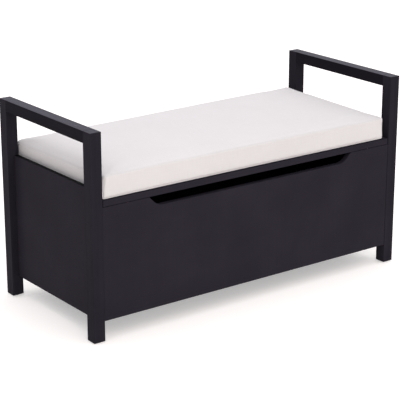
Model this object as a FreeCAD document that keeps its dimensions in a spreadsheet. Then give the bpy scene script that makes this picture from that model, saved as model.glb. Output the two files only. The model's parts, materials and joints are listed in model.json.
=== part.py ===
import FreeCAD, Part
import math
import os
import re
import Sketcher

# Flip-top storage bench with arm rails and a seat cushion.
# Millimetres. The origin is on the floor under the middle of the bench: +X runs to the right
# along the seat, the front faces -Y, and +Z is up.

SIZES = {
    # The whole bench
    "bench_length": 940.0,
    "bench_depth": 405.0,
    "bench_height": 505.0,
    # End frames: square posts joined at the top by an arm rail
    "post_width": 30.0,
    "post_depth": 30.0,
    "rail_height": 28.0,
    "edge_round": 0.8,
    "glide_thick": 2.0,
    "glide_radius": 11.0,
    "nail_radius": 1.0,
    "nail_length": 14.0,
    # Box panels
    "ground_clearance": 51.0,
    "side_upstand": 22.0,
    "side_thick": 12.0,
    "panel_thick": 15.0,
    "front_setback": 1.0,
    "back_recess": 10.0,
    "cutout_length": 622.0,
    "cutout_depth": 24.0,
    "cutout_round": 36.0,
    # Floor of the box
    "bottom_thick": 9.0,
    "bottom_gap": 1.0,
    "cleat_size": 18.0,
    "cleat_rise": 2.0,
    "cleat_gap": 0.5,
    "brace_width": 45.0,
    # Lid
    "seat_top": 343.0,
    "lid_thick": 15.0,
    "lid_side_gap": 2.0,
    "bumper_thick": 1.0,
    "bumper_radius": 5.0,
    "bumper_inset": 70.0,
    # Dowels and cam fittings
    "dowel_radius": 3.0,
    "dowel_length": 30.0,
    "dowel_inset": 32.0,
    "side_dowel_inset": 48.0,
    "rail_dowel_step": 6.5,
    "cam_radius": 7.4,
    "cam_thick": 12.0,
    "cam_distance": 24.0,
    "cam_inset": 78.0,
    "cam_slot": 1.6,
    "cam_slot_length": 10.4,
    "bolt_radius": 2.5,
    "bolt_thread_radius": 3.0,
    "bolt_thread_length": 11.0,
    "hole_end_gap": 1.0,
    "fit_gap": 0.05,
    # Screws
    "screw_radius": 1.6,
    "screw_head_radius": 3.0,
    "screw_head_thick": 1.3,
    "screw_slot": 0.7,
    "short_screw_length": 11.0,
    "screw_slot_depth": 0.8,
    "cleat_screw_length": 25.0,
    "cleat_screw_inset": 88.0,
    "cleat_screw_spread": 132.0,
    "side_screw_inset": 69.0,
    # Butt hinges
    "hinge_length": 64.0,
    "hinge_spacing": 290.0,
    "leaf_thick": 1.5,
    "leaf_width": 17.0,
    "leaf_gap": 0.2,
    "knuckle_radius": 3.0,
    "knuckle_gap": 0.2,
    "pin_radius": 1.5,
    "pin_clear": 1.0,
    "pin_head_radius": 2.4,
    "leaf_screw_step": 22.0,
    # Folding lid stays
    "stay_width": 14.0,
    "stay_thick": 2.0,
    "stay_gap": 0.3,
    "stay_foot_back": 40.0,
    "stay_foot_drop": 130.0,
    "stay_lid_reach": 130.0,
    "stay_lid_drop": 18.0,
    "rivet_radius": 2.5,
    "rivet_tail_radius": 2.0,
    "rivet_head_radius": 4.5,
    "rivet_head_thick": 1.2,
    "open_pivot_gap": 0.3,
    "stop_stud_radius": 2.0,
    "stop_clear": 1.0,
    "lid_opening_angle": 90.0,
    "bracket_length": 32.0,
    "bracket_flange": 19.0,
    "bracket_screw_step": 9.6,
    "foot_bracket_length": 35.0,
    "tail_head_radius": 3.2,
    "tail_head_thick": 0.6,
    # Seat cushion and its hook-and-loop patches
    "patch_thick": 0.6,
    "patch_length": 90.0,
    "patch_width": 25.0,
    "patch_inset": 60.0,
    "cushion_thick": 61.0,
    "cushion_left_gap": 1.5,
    "cushion_right_gap": 15.0,
    "cushion_edge_gap": 1.0,
    "cushion_corner": 14.0,
    "cushion_top_round": 6.0,
    "cover_thick": 1.0,
    "foam_gap": 0.3,
}

# Places that follow from the sizes. All are distances from the middle plane or the floor.
PLACES = {
    "post_inner_x": "bench_length / 2 - post_width",
    "post_inner_y": "bench_depth / 2 - post_depth",
    "post_mid_x": "bench_length / 2 - post_width / 2",
    "post_mid_y": "bench_depth / 2 - post_depth / 2",
    "side_mid_x": "bench_length / 2 - post_width + side_thick / 2",
    "lid_bottom": "seat_top - lid_thick",
    "side_top": "seat_top + side_upstand",
    "front_top": "seat_top - lid_thick - bumper_thick",
    "front_outer_y": "bench_depth / 2 - front_setback",
    "front_inner_y": "bench_depth / 2 - front_setback - panel_thick",
    "front_mid_y": "bench_depth / 2 - front_setback - panel_thick / 2",
    "back_outer_y": "bench_depth / 2 - back_recess",
    "back_inner_y": "bench_depth / 2 - back_recess - panel_thick",
    "back_mid_y": "bench_depth / 2 - back_recess - panel_thick / 2",
    "back_top": "seat_top - lid_thick - 2 * leaf_thick - leaf_gap",
    "pin_height": "seat_top - lid_thick - leaf_thick - leaf_gap / 2",
    "pin_back_y": "bench_depth / 2 - back_recess + knuckle_radius + pin_clear",
    "rail_dowel_low": "bench_height - rail_height / 2 - rail_dowel_step",
    "rail_dowel_high": "bench_height - rail_height / 2 + rail_dowel_step",
    "side_dowel_low": "ground_clearance + side_dowel_inset",
    "side_dowel_mid": "(ground_clearance + seat_top + side_upstand) / 2",
    "side_dowel_high": "seat_top + side_upstand - side_dowel_inset",
    "panel_dowel_low": "ground_clearance + dowel_inset",
    "panel_dowel_high": "back_top - dowel_inset",
    "cam_low": "ground_clearance + cam_inset",
    "cam_high": "back_top - cam_inset",
    "cam_mid_x": "bench_length / 2 - post_width - cam_distance",
    "cleat_bottom": "ground_clearance + cleat_rise",
    "cleat_mid_z": "ground_clearance + cleat_rise + cleat_size / 2",
    "cleat_top": "ground_clearance + cleat_rise + cleat_size",
    "front_cleat_y": "front_inner_y - cleat_size",
    "back_cleat_y": "back_inner_y - cleat_size",
    "side_cleat_x": "post_inner_x - cleat_size",
    "cleat_screw_far_x": "post_inner_x - cleat_screw_inset",
    "cleat_screw_near_x": "cleat_screw_spread",
    "side_screw_y": "post_inner_y - side_screw_inset",
    "brace_dowel_x": "brace_width / 4",
    "bumper_x": "post_inner_x - bumper_inset",
    "lid_half": "bench_length / 2 - post_width - lid_side_gap",
    "leaf_screw_y": "pin_back_y - (leaf_width + knuckle_radius) / 2",
    "foot_pivot_y": "pin_back_y - stay_foot_back",
    "foot_pivot_z": "pin_height - stay_foot_drop",
    "lid_pivot_y": "pin_back_y - stay_lid_reach",
    "lid_pivot_z": "pin_height - stay_lid_drop",
    "elbow_y": "pin_back_y - stay_foot_back - stay_lid_reach",
    "elbow_z": "pin_height - stay_foot_drop - stay_lid_drop",
    "stop_stud_distance": "stay_width / 2 + stop_stud_radius + stop_clear",
    "lower_arm_length": "sqrt(stay_lid_reach ^ 2 + stay_lid_drop ^ 2)",
    "upper_arm_length": "sqrt(stay_foot_back ^ 2 + stay_foot_drop ^ 2)",
    # Layers of a stay, counted inwards from the side panel's inner face
    "lower_arm_layer": "stay_thick + stay_gap",
    "upper_arm_layer": "2 * stay_thick + 2 * stay_gap",
    "ear_layer": "3 * stay_thick + 3 * stay_gap",
    "bracket_screw_layer": "3.5 * stay_thick + 3 * stay_gap + bracket_flange / 2",
    "cushion_bottom": "seat_top + 2 * patch_thick",
    "patch_y": "bench_depth / 2 - patch_inset",
    "patch_x": "post_inner_x - patch_inset - patch_length / 2",
}

SIDES = {"left": -1, "right": 1}
ENDS = {"front": -1, "back": 1}
HINGES = {"left": -1, "centre": 0, "right": 1}
STRAIGHT = FreeCAD.Rotation()
ALONG_X = FreeCAD.Rotation(FreeCAD.Vector(0, 1, 0), 90)
ALONG_Y = FreeCAD.Rotation(FreeCAD.Vector(1, 0, 0), -90)
TURNS = {"x": ALONG_X, "y": ALONG_Y, "z": STRAIGHT}
PLANES = {"x": "YZ_Plane", "y": "XZ_Plane", "z": "XY_Plane"}

doc = FreeCAD.newDocument("storage_bench")
nodes = []


# ---- The sheet of sizes, and the places that follow from it ----

sheet = doc.addObject("Spreadsheet::Sheet", "sizes")
for row, (alias, size) in enumerate(SIZES.items(), start=1):
    sheet.set(f"A{row}", alias)
    sheet.set(f"B{row}", str(size))
    sheet.setAlias(f"B{row}", alias)
doc.recompute()


def linked(formula):
    """The formula with each size or place pointing at the object that holds it."""
    def owner(found):
        name = found.group()
        return f"sizes.{name}" if name in SIZES else f"layout.{name}"
    return re.sub(r"[a-z]+(?:_[a-z]+)+", owner, formula)


layout = doc.addObject("App::VarSet", "layout")
for place_name in PLACES:
    layout.addProperty("App::PropertyFloat", place_name, "Places")
for place_name, place_formula in PLACES.items():
    layout.setExpression(place_name, linked(place_formula))
doc.recompute()


def number(name):
    """The value of a size or a place, in millimetres."""
    return float(sheet.get(name)) if name in SIZES else float(getattr(layout, name))


# ---- Binding, primitives and booleans ----

def bind(target, **formulas):
    for name, formula in formulas.items():
        target.setExpression(name, linked(formula))


def put(target, x, y, z, turn=STRAIGHT):
    """Turns the object and binds its position."""
    target.Placement = FreeCAD.Placement(FreeCAD.Vector(), turn)
    for axis, formula in zip("xyz", (x, y, z)):
        target.setExpression(f"Placement.Base.{axis}", linked(formula))
    return target


def named(target, label):
    """Gives a finished sub-part its name and lists it for writing out."""
    target.Label = label
    nodes.append(target)
    return target


def box(length, width, height, x, y, z):
    made = doc.addObject("Part::Box", "block")
    bind(made, Length=length, Width=width, Height=height)
    return put(made, x, y, z)


def rod(radius, length, x, y, z, axis="z"):
    made = doc.addObject("Part::Cylinder", "rod")
    bind(made, Radius=radius, Height=length)
    return put(made, x, y, z, TURNS[axis])


def cone(radius_low, radius_high, length, x, y, z):
    made = doc.addObject("Part::Cone", "taper")
    bind(made, Radius1=radius_low, Radius2=radius_high, Height=length)
    return put(made, x, y, z)


def fuse(*pieces):
    made = doc.addObject("Part::MultiFuse", "joined")
    made.Shapes = list(pieces)
    made.Refine = True
    return made


def cut(base, *tools):
    made = doc.addObject("Part::Cut", "cut")
    made.Base = base
    made.Tool = tools[0] if len(tools) == 1 else fuse(*tools)
    made.Refine = True
    return made


def group(label, master, places, turn=STRAIGHT):
    """Separate copies of one fastener in one node. A place is a position, with or without its own turn."""
    doc.recompute()
    copies = []
    for place in places:
        position, own_turn = place if isinstance(place[0], tuple) else (place, turn)
        copy = master.Shape.copy()
        copy.Placement = FreeCAD.Placement(FreeCAD.Vector(*position), own_turn) * master.Shape.Placement
        copies.append(copy)
    made = doc.addObject("Part::Feature", "fasteners")
    made.Shape = Part.makeCompound(copies)
    return named(made, label)


# ---- Boards: a sketched outline, padded, eased and drilled ----

def plane_of(body, axis):
    return next(f for f in body.Origin.OriginFeatures if f.Role == PLANES[axis])


def new_sketch(body, name, axis, offset="0"):
    """A sketch square to an axis, at an offset along it."""
    sketch = body.newObject("Sketcher::SketchObject", name)
    sketch.AttachmentSupport = [(plane_of(body, axis), "")]
    sketch.MapMode = "FlatFace"
    sign = "-" if axis == "y" else ""
    sketch.setExpression("AttachmentOffset.Base.z", linked(f"{sign}({offset})"))
    return sketch


def measured(sketch, kind, ends, formula):
    """A dimension in the sketch, bound to a formula."""
    start = 10.0
    index = sketch.addConstraint(Sketcher.Constraint(kind, *ends, start))
    sketch.setExpression(f"Constraints[{index}]", linked(formula))


def outline(sketch, points):
    """A closed run of lines through rough points, which the dimensions then set exactly."""
    ends = points[1:] + points[:1]
    for start, end in zip(points, ends):
        sketch.addGeometry(Part.LineSegment(FreeCAD.Vector(*start, 0), FreeCAD.Vector(*end, 0)))
    for line in range(len(points)):
        follower = (line + 1) % len(points)
        sketch.addConstraint(Sketcher.Constraint("Coincident", line, 2, follower, 1))


def rectangle(sketch, width, height):
    """A rectangle with a corner on the sketch's origin."""
    outline(sketch, [(0, 0), (10, 0), (10, 10), (0, 10)])
    for line, way in enumerate(("Horizontal", "Vertical", "Horizontal", "Vertical")):
        sketch.addConstraint(Sketcher.Constraint(way, line))
    sketch.addConstraint(Sketcher.Constraint("Coincident", 0, 1, -1, 1))
    measured(sketch, "DistanceX", (0, 1, 0, 2), width)
    measured(sketch, "DistanceY", (1, 1, 1, 2), height)


def rounded(body, feature, edges, radius, name="eased"):
    made = body.newObject("PartDesign::Fillet", name)
    made.Base = (feature, edges)
    bind(made, Radius=radius)
    return made


def board(size, corner, ease="edge_round"):
    """A block from its lowest corner, with every edge eased."""
    body = doc.addObject("PartDesign::Body", "board")
    sketch = new_sketch(body, "face", "z")
    rectangle(sketch, size[0], size[1])
    pad = body.newObject("PartDesign::Pad", "thickness")
    pad.Profile = sketch
    bind(pad, Length=size[2])
    put(body, *corner)
    doc.recompute()
    rounded(body, pad, [f"Edge{n + 1}" for n in range(len(pad.Shape.Edges))], ease)
    doc.recompute()
    return body


def drill(body, corner, axis, start, toward, centres, radius, depth):
    """Round holes along an axis from the level start. Centres are given across the axis, in axis order."""
    across = [n for n in range(3) if "xyz"[n] != axis]
    along = "xyz".index(axis)
    sketch = new_sketch(body, "holes", axis, f"({start}) - ({corner[along]})")
    for number_of_hole, centre in enumerate(centres):
        rough = FreeCAD.Vector(10 + 20 * number_of_hole, 10, 0)
        hole = sketch.addGeometry(Part.Circle(rough, FreeCAD.Vector(0, 0, 1), 2.0))
        measured(sketch, "Radius", (hole,), radius)
        for kind, place, n in zip(("DistanceX", "DistanceY"), centre, across):
            measured(sketch, kind, (-1, 1, hole, 3), f"({place}) - ({corner[n]})")
    pocket = body.newObject("PartDesign::Pocket", "drilled")
    pocket.Profile = sketch
    pocket.Type = "Length"
    bind(pocket, Length=depth)
    pocket.Reversed = (toward > 0) != (axis == "y")
    doc.recompute()
    return pocket


# ---- Shared hole sizes ----

DOWEL_HOLE = "dowel_radius + fit_gap"
DOWEL_DEPTH = "dowel_length / 2 + hole_end_gap"
SCREW_HOLE = "screw_radius + fit_gap"


def signed(side, name):
    return f"{side} * {name}"


# ---- End frames: posts, arm rails and side panels ----

def make_post(side_name, side, end_name, end):
    corner = (
        f"{side} * post_mid_x - post_width / 2",
        f"{end} * post_mid_y - post_depth / 2",
        "glide_thick",
    )
    post = board(("post_width", "post_depth", "bench_height - glide_thick"), corner)
    inner_y = signed(end, "post_inner_y")
    inner_x = signed(side, "post_inner_x")
    rail_spots = [(signed(side, "post_mid_x"), z) for z in ("rail_dowel_low", "rail_dowel_high")]
    side_spots = [
        (signed(side, "side_mid_x"), z) for z in ("side_dowel_low", "side_dowel_mid", "side_dowel_high")
    ]
    drill(post, corner, "y", inner_y, end, rail_spots + side_spots, DOWEL_HOLE, DOWEL_DEPTH)
    panel_y = signed(end, f"{end_name}_mid_y")
    panel_spots = [(panel_y, z) for z in ("panel_dowel_low", "panel_dowel_high")]
    drill(post, corner, "x", inner_x, side, panel_spots, DOWEL_HOLE, DOWEL_DEPTH)
    bolt_spots = [(panel_y, z) for z in ("cam_low", "cam_high")]
    drill(
        post, corner, "x", inner_x, side, bolt_spots,
        "bolt_thread_radius + fit_gap", "bolt_thread_length + hole_end_gap",
    )
    nail_spot = [(signed(side, "post_mid_x"), signed(end, "post_mid_y"))]
    nail_hole = ("nail_radius + fit_gap", "nail_length + hole_end_gap")
    drill(post, corner, "z", "glide_thick", 1, nail_spot, *nail_hole)
    return named(post, f"post_{end_name}_{side_name}")


def make_rail(side_name, side):
    corner = (f"{side} * post_mid_x - post_width / 2", "-post_inner_y", "bench_height - rail_height")
    rail = board(("post_width", "2 * post_inner_y", "rail_height"), corner)
    for end in ENDS.values():
        spots = [(signed(side, "post_mid_x"), z) for z in ("rail_dowel_low", "rail_dowel_high")]
        drill(rail, corner, "y", signed(end, "post_inner_y"), -end, spots, DOWEL_HOLE, DOWEL_DEPTH)
    return named(rail, f"arm_rail_{side_name}")


def make_side_panel(side_name, side):
    corner = (f"{side} * side_mid_x - side_thick / 2", "-post_inner_y", "ground_clearance")
    panel = board(("side_thick", "2 * post_inner_y", "side_top - ground_clearance"), corner)
    for end in ENDS.values():
        spots = [
            (signed(side, "side_mid_x"), z) for z in ("side_dowel_low", "side_dowel_mid", "side_dowel_high")
        ]
        drill(panel, corner, "y", signed(end, "post_inner_y"), -end, spots, DOWEL_HOLE, DOWEL_DEPTH)
    inner = signed(side, "post_inner_x")
    pilot_depth = "cleat_screw_length - cleat_size + hole_end_gap"
    cleat_spots = [(signed(way, "side_screw_y"), "cleat_mid_z") for way in (-1, 1)]
    drill(panel, corner, "x", inner, side, cleat_spots, SCREW_HOLE, pilot_depth)
    stay_spots = [("foot_pivot_y", f"foot_pivot_z - stay_width * {step}") for step in (1, 2)]
    stay_depth = "short_screw_length - stay_thick + hole_end_gap / 2"
    drill(panel, corner, "x", inner, side, stay_spots, SCREW_HOLE, stay_depth)
    return named(panel, f"side_panel_{side_name}")


for side_name, side in SIDES.items():
    for end_name, end in ENDS.items():
        make_post(side_name, side, end_name, end)
    make_rail(side_name, side)
    make_side_panel(side_name, side)


# ---- Front and back panels ----

def drill_panel(panel, corner, end_name, end):
    """Dowel, bolt and cam holes at both ends of a front or back panel, and the cleat's pilot holes."""
    mid_y = signed(end, f"{end_name}_mid_y")
    inner_y = signed(end, f"{end_name}_inner_y")
    for side in SIDES.values():
        inner_x = signed(side, "post_inner_x")
        dowel_spots = [(mid_y, z) for z in ("panel_dowel_low", "panel_dowel_high")]
        drill(panel, corner, "x", inner_x, -side, dowel_spots, DOWEL_HOLE, DOWEL_DEPTH)
        bolt_spots = [(mid_y, z) for z in ("cam_low", "cam_high")]
        drill(panel, corner, "x", inner_x, -side, bolt_spots, "bolt_thread_radius + fit_gap", "cam_distance")
        cam_spots = [(signed(side, "cam_mid_x"), z) for z in ("cam_low", "cam_high")]
        drill(panel, corner, "y", inner_y, end, cam_spots, "cam_radius + 2 * fit_gap", "cam_thick + fit_gap")
    cleat_spots = [
        (signed(side, f"cleat_screw_{reach}_x"), "cleat_mid_z")
        for side in SIDES.values() for reach in ("far", "near")
    ]
    pilot_depth = "cleat_screw_length - cleat_size + hole_end_gap"
    drill(panel, corner, "y", inner_y, end, cleat_spots, SCREW_HOLE, pilot_depth)


def make_front_panel():
    """A board whose top edge dips between two sloping shoulders, as a grip for the lid's front edge."""
    height = "front_top - ground_clearance"
    corner = ("-post_inner_x", "-front_outer_y", "ground_clearance")
    body = doc.addObject("PartDesign::Body", "board")
    face = new_sketch(body, "face", "y")
    rectangle(face, "2 * post_inner_x", height)
    pad = body.newObject("PartDesign::Pad", "thickness")
    pad.Profile = face
    pad.Reversed = True
    bind(pad, Length="panel_thick")
    put(body, *corner)
    doc.recompute()
    top = number("front_top") - number("ground_clearance")
    depth = number("cutout_depth")
    left = number("post_inner_x") - number("cutout_length") / 2
    right = left + number("cutout_length")
    dip = new_sketch(body, "dip", "y")
    outline(dip, [(left, top), (left + depth, top - depth), (right - depth, top - depth), (right, top)])
    for line in (1, 3):
        dip.addConstraint(Sketcher.Constraint("Horizontal", line))
    measured(dip, "DistanceX", (-1, 1, 0, 1), "post_inner_x - cutout_length / 2")
    measured(dip, "DistanceY", (-1, 1, 0, 1), height)
    measured(dip, "DistanceX", (0, 1, 2, 2), "cutout_length")
    measured(dip, "DistanceX", (0, 1, 0, 2), "cutout_depth")
    measured(dip, "DistanceX", (2, 1, 2, 2), "cutout_depth")
    measured(dip, "DistanceY", (2, 1, 2, 2), "cutout_depth")
    pocket = body.newObject("PartDesign::Pocket", "grip")
    pocket.Profile = dip
    pocket.Type = "ThroughAll"
    pocket.Reversed = False
    doc.recompute()
    low = top - depth
    corners = [
        f"Edge{n + 1}" for n, edge in enumerate(pocket.Shape.Edges)
        if all(abs(v.Point.z - low) < 0.01 for v in edge.Vertexes)
        and abs(edge.Vertexes[0].Point.y - edge.Vertexes[-1].Point.y) > 1
    ]
    soft = rounded(body, pocket, corners, "cutout_round", "shoulders")
    doc.recompute()
    faces_edges = [
        f"Edge{n + 1}" for n, edge in enumerate(soft.Shape.Edges)
        if abs(edge.Vertexes[0].Point.y - edge.Vertexes[-1].Point.y) < 0.01
    ]
    rounded(body, soft, faces_edges, "edge_round")
    doc.recompute()
    drill_panel(body, corner, "front", -1)
    return named(body, "front_panel")


def make_back_panel():
    corner = ("-post_inner_x", "back_inner_y", "ground_clearance")
    panel = board(("2 * post_inner_x", "panel_thick", "back_top - ground_clearance"), corner)
    drill_panel(panel, corner, "back", 1)
    pilots = [
        (f"{hinge} * hinge_spacing + {step} * leaf_screw_step", "leaf_screw_y")
        for hinge in HINGES.values() for step in (-1, 0, 1)
    ]
    depth = "short_screw_length - leaf_thick + hole_end_gap"
    drill(panel, corner, "z", "back_top", -1, pilots, SCREW_HOLE, depth)
    return named(panel, "back_panel")


make_front_panel()
make_back_panel()


# ---- Floor of the box: cleats round the inside, a brace, and the bottom panel ----

def make_long_cleat(end_name, end):
    near, far = (f"{end_name}_cleat_y", f"{end_name}_inner_y")
    low_y = f"-{far}" if end < 0 else near
    corner = ("-post_inner_x + cleat_gap", low_y, "cleat_bottom")
    cleat = board(("2 * (post_inner_x - cleat_gap)", "cleat_size", "cleat_size"), corner)
    spots = [
        (signed(side, f"cleat_screw_{reach}_x"), "cleat_mid_z")
        for side in SIDES.values() for reach in ("far", "near")
    ]
    drill(cleat, corner, "y", signed(end, near), end, spots, SCREW_HOLE, "cleat_size")
    dowels = [(signed(way, "brace_dowel_x"), "cleat_mid_z") for way in (-1, 1)]
    drill(cleat, corner, "y", signed(end, near), end, dowels, DOWEL_HOLE, DOWEL_DEPTH)
    return named(cleat, f"cleat_{end_name}")


def make_side_cleat(side_name, side):
    low_x = "-post_inner_x" if side < 0 else "side_cleat_x"
    corner = (low_x, "-front_cleat_y + cleat_gap", "cleat_bottom")
    length = "front_cleat_y + back_cleat_y - 2 * cleat_gap"
    cleat = board(("cleat_size", length, "cleat_size"), corner)
    spots = [(signed(way, "side_screw_y"), "cleat_mid_z") for way in (-1, 1)]
    drill(cleat, corner, "x", signed(side, "side_cleat_x"), side, spots, SCREW_HOLE, "cleat_size")
    return named(cleat, f"cleat_{side_name}")


def make_brace():
    corner = ("-brace_width / 2", "-front_cleat_y", "cleat_bottom")
    brace = board(("brace_width", "front_cleat_y + back_cleat_y", "cleat_size"), corner)
    for end_name, end in ENDS.items():
        spots = [(signed(way, "brace_dowel_x"), "cleat_mid_z") for way in (-1, 1)]
        start = signed(end, f"{end_name}_cleat_y")
        drill(brace, corner, "y", start, -end, spots, DOWEL_HOLE, DOWEL_DEPTH)
    return named(brace, "bottom_brace")


for end_name, end in ENDS.items():
    make_long_cleat(end_name, end)
for side_name, side in SIDES.items():
    make_side_cleat(side_name, side)
make_brace()
named(
    board(
        ("2 * (post_inner_x - bottom_gap)", "front_inner_y + back_inner_y - 2 * bottom_gap", "bottom_thick"),
        ("-post_inner_x + bottom_gap", "-front_inner_y + bottom_gap", "cleat_top"),
    ),
    "bottom_panel",
)


# ---- Lid board ----

def make_lid():
    corner = ("-lid_half", "-front_outer_y", "lid_bottom")
    lid = board(("2 * lid_half", "front_outer_y + back_outer_y", "lid_thick"), corner)
    leaf_depth = "short_screw_length - leaf_thick + hole_end_gap"
    leaf_spots = [
        (f"{hinge} * hinge_spacing + {step} * leaf_screw_step", "leaf_screw_y")
        for hinge in HINGES.values() for step in (-1, 0, 1)
    ]
    drill(lid, corner, "z", "lid_bottom", 1, leaf_spots, SCREW_HOLE, leaf_depth)
    stay_spots = [
        (f"{side} * (post_inner_x - bracket_screw_layer)", f"lid_pivot_y + {step} * bracket_screw_step")
        for side in SIDES.values() for step in (-1, 1)
    ]
    stay_depth = "short_screw_length - stay_thick + hole_end_gap"
    drill(lid, corner, "z", "lid_bottom", 1, stay_spots, SCREW_HOLE, stay_depth)
    return named(lid, "lid_board")


make_lid()


# ---- Fasteners, each made once and copied to its places ----

def flat_screw():
    """Countersunk screw with a cross recess: the head's face is at the origin and the point is down."""
    head = cone("screw_radius", "screw_head_radius", "screw_head_thick", "0", "0", "-screw_head_thick")
    shank = rod("screw_radius", "short_screw_length", "0", "0", "-short_screw_length")
    return cut(fuse(head, shank), *cross_recess("0"))


def pan_screw(length):
    """Screw whose low cylindrical head stands on the surface at the origin."""
    head = rod("screw_head_radius", "screw_head_thick", "0", "0", "0")
    shank = rod("screw_radius", f"{length} + screw_head_thick / 2", "0", "0", f"-({length})")
    return cut(fuse(head, shank), *cross_recess("screw_head_thick"))


def cross_recess(top):
    reach = "screw_radius * 2"
    depth = "screw_slot_depth"
    level = f"{top} - {depth}"
    return (
        box(reach, "screw_slot", depth, "-screw_radius", "-screw_slot / 2", level),
        box("screw_slot", reach, depth, "-screw_slot / 2", "-screw_radius", level),
    )


def dowel():
    return rod("dowel_radius", "dowel_length", "0", "0", "-dowel_length / 2")


def glide():
    """Round nail-on foot with its nail up into the post."""
    pad = rod("glide_radius", "glide_thick", "0", "0", "0")
    nail = rod("nail_radius", "nail_length + glide_thick / 2", "0", "0", "glide_thick / 2")
    return fuse(pad, nail)


def cam_lock():
    """Drum with a crossways bore for the bolt head and a cross slot in its face, which is at the origin."""
    drum = rod("cam_radius", "cam_thick", "0", "0", "-cam_thick")
    bore_radius = "bolt_thread_radius + 2 * fit_gap"
    bore = rod(bore_radius, "cam_radius * 2", "-cam_radius / 2", "0", "-panel_thick / 2", "x")
    long_start, short_start = ("-cam_slot_length / 2", "-cam_slot / 2")
    slot = box("cam_slot_length", "cam_slot", "cam_slot", long_start, short_start, "-cam_slot")
    cross = box("cam_slot", "cam_slot_length", "cam_slot", short_start, long_start, "-cam_slot")
    return cut(drum, bore, slot, cross)


def cam_bolt():
    """Thread up into the post from the origin, and a shank with a round head down to the cam."""
    thread = rod("bolt_thread_radius", "bolt_thread_length", "0", "0", "0")
    shank = rod("bolt_radius", "cam_distance", "0", "0", "-cam_distance")
    head = rod("bolt_thread_radius", "bolt_radius", "0", "0", "-cam_distance")
    return fuse(thread, shank, head)


def turned(x, y, z, rotation):
    return ((x, y, z), rotation)


TO_PLUS_X = FreeCAD.Rotation(FreeCAD.Vector(0, 1, 0), 90)
TO_MINUS_X = FreeCAD.Rotation(FreeCAD.Vector(0, 1, 0), -90)
TO_PLUS_Y = FreeCAD.Rotation(FreeCAD.Vector(1, 0, 0), -90)
TO_MINUS_Y = FreeCAD.Rotation(FreeCAD.Vector(1, 0, 0), 90)
UPSIDE_DOWN = FreeCAD.Rotation(FreeCAD.Vector(1, 0, 0), 180)
X_WAY = {1: TO_PLUS_X, -1: TO_MINUS_X}
Y_WAY = {1: TO_PLUS_Y, -1: TO_MINUS_Y}

dowel_master = dowel()
group("rail_dowels", dowel_master, [
    (side * number("post_mid_x"), end * number("post_inner_y"), number(f"rail_dowel_{level}"))
    for side in SIDES.values() for end in ENDS.values() for level in ("low", "high")
], ALONG_Y)
group("side_panel_dowels", dowel_master, [
    (side * number("side_mid_x"), end * number("post_inner_y"), number(f"side_dowel_{level}"))
    for side in SIDES.values() for end in ENDS.values() for level in ("low", "mid", "high")
], ALONG_Y)
group("panel_dowels", dowel_master, [
    (side * number("post_inner_x"), end * number(f"{end_name}_mid_y"), number(f"panel_dowel_{level}"))
    for side in SIDES.values() for end_name, end in ENDS.items() for level in ("low", "high")
], ALONG_X)
group("brace_dowels", dowel_master, [
    (way * number("brace_dowel_x"), end * number(f"{end_name}_cleat_y"), number("cleat_mid_z"))
    for way in (-1, 1) for end_name, end in ENDS.items()
], ALONG_Y)
group("foot_glides", glide(), [
    (side * number("post_mid_x"), end * number("post_mid_y"), 0)
    for side in SIDES.values() for end in ENDS.values()
])
group("cam_bolts", cam_bolt(), [
    turned(
        side * number("post_inner_x"), end * number(f"{end_name}_mid_y"), number(f"cam_{level}"), X_WAY[side],
    )
    for side in SIDES.values() for end_name, end in ENDS.items() for level in ("low", "high")
])


def cam_turn(side, end):
    """Stands the drum's face on the panel's inner face, with its bore open towards the post."""
    facing = FreeCAD.Vector(0, -end, 0)
    bore = FreeCAD.Vector(side, 0, 0)
    return FreeCAD.Rotation(bore, facing.cross(bore), facing, "ZXY")


group("cam_locks", cam_lock(), [
    turned(
        side * number("cam_mid_x"), end * number(f"{end_name}_inner_y"), number(f"cam_{level}"),
        cam_turn(side, end),
    )
    for side in SIDES.values() for end_name, end in ENDS.items() for level in ("low", "high")
])
cleat_screw_places = [
    turned(
        side * number(f"cleat_screw_{reach}_x"), end * number(f"{end_name}_cleat_y"), number("cleat_mid_z"),
        Y_WAY[-end],
    )
    for side in SIDES.values() for end_name, end in ENDS.items() for reach in ("far", "near")
] + [
    turned(side * number("side_cleat_x"), way * number("side_screw_y"), number("cleat_mid_z"), X_WAY[-side])
    for side in SIDES.values() for way in (-1, 1)
]
group("cleat_screws", pan_screw("cleat_screw_length"), cleat_screw_places)
group("lid_bumpers", rod("bumper_radius", "bumper_thick", "0", "0", "0"), [
    (side * number("bumper_x"), -number("front_mid_y"), number("front_top")) for side in SIDES.values()
])


# ---- Butt hinges along the back of the lid ----

KNUCKLES = 5
FRAME_KNUCKLES = (0, 2, 4)
LID_KNUCKLES = (1, 3)


def knuckle_start(n):
    return f"hinge_length * ({n} / {KNUCKLES} - 0.5) + knuckle_gap / 2"


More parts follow.
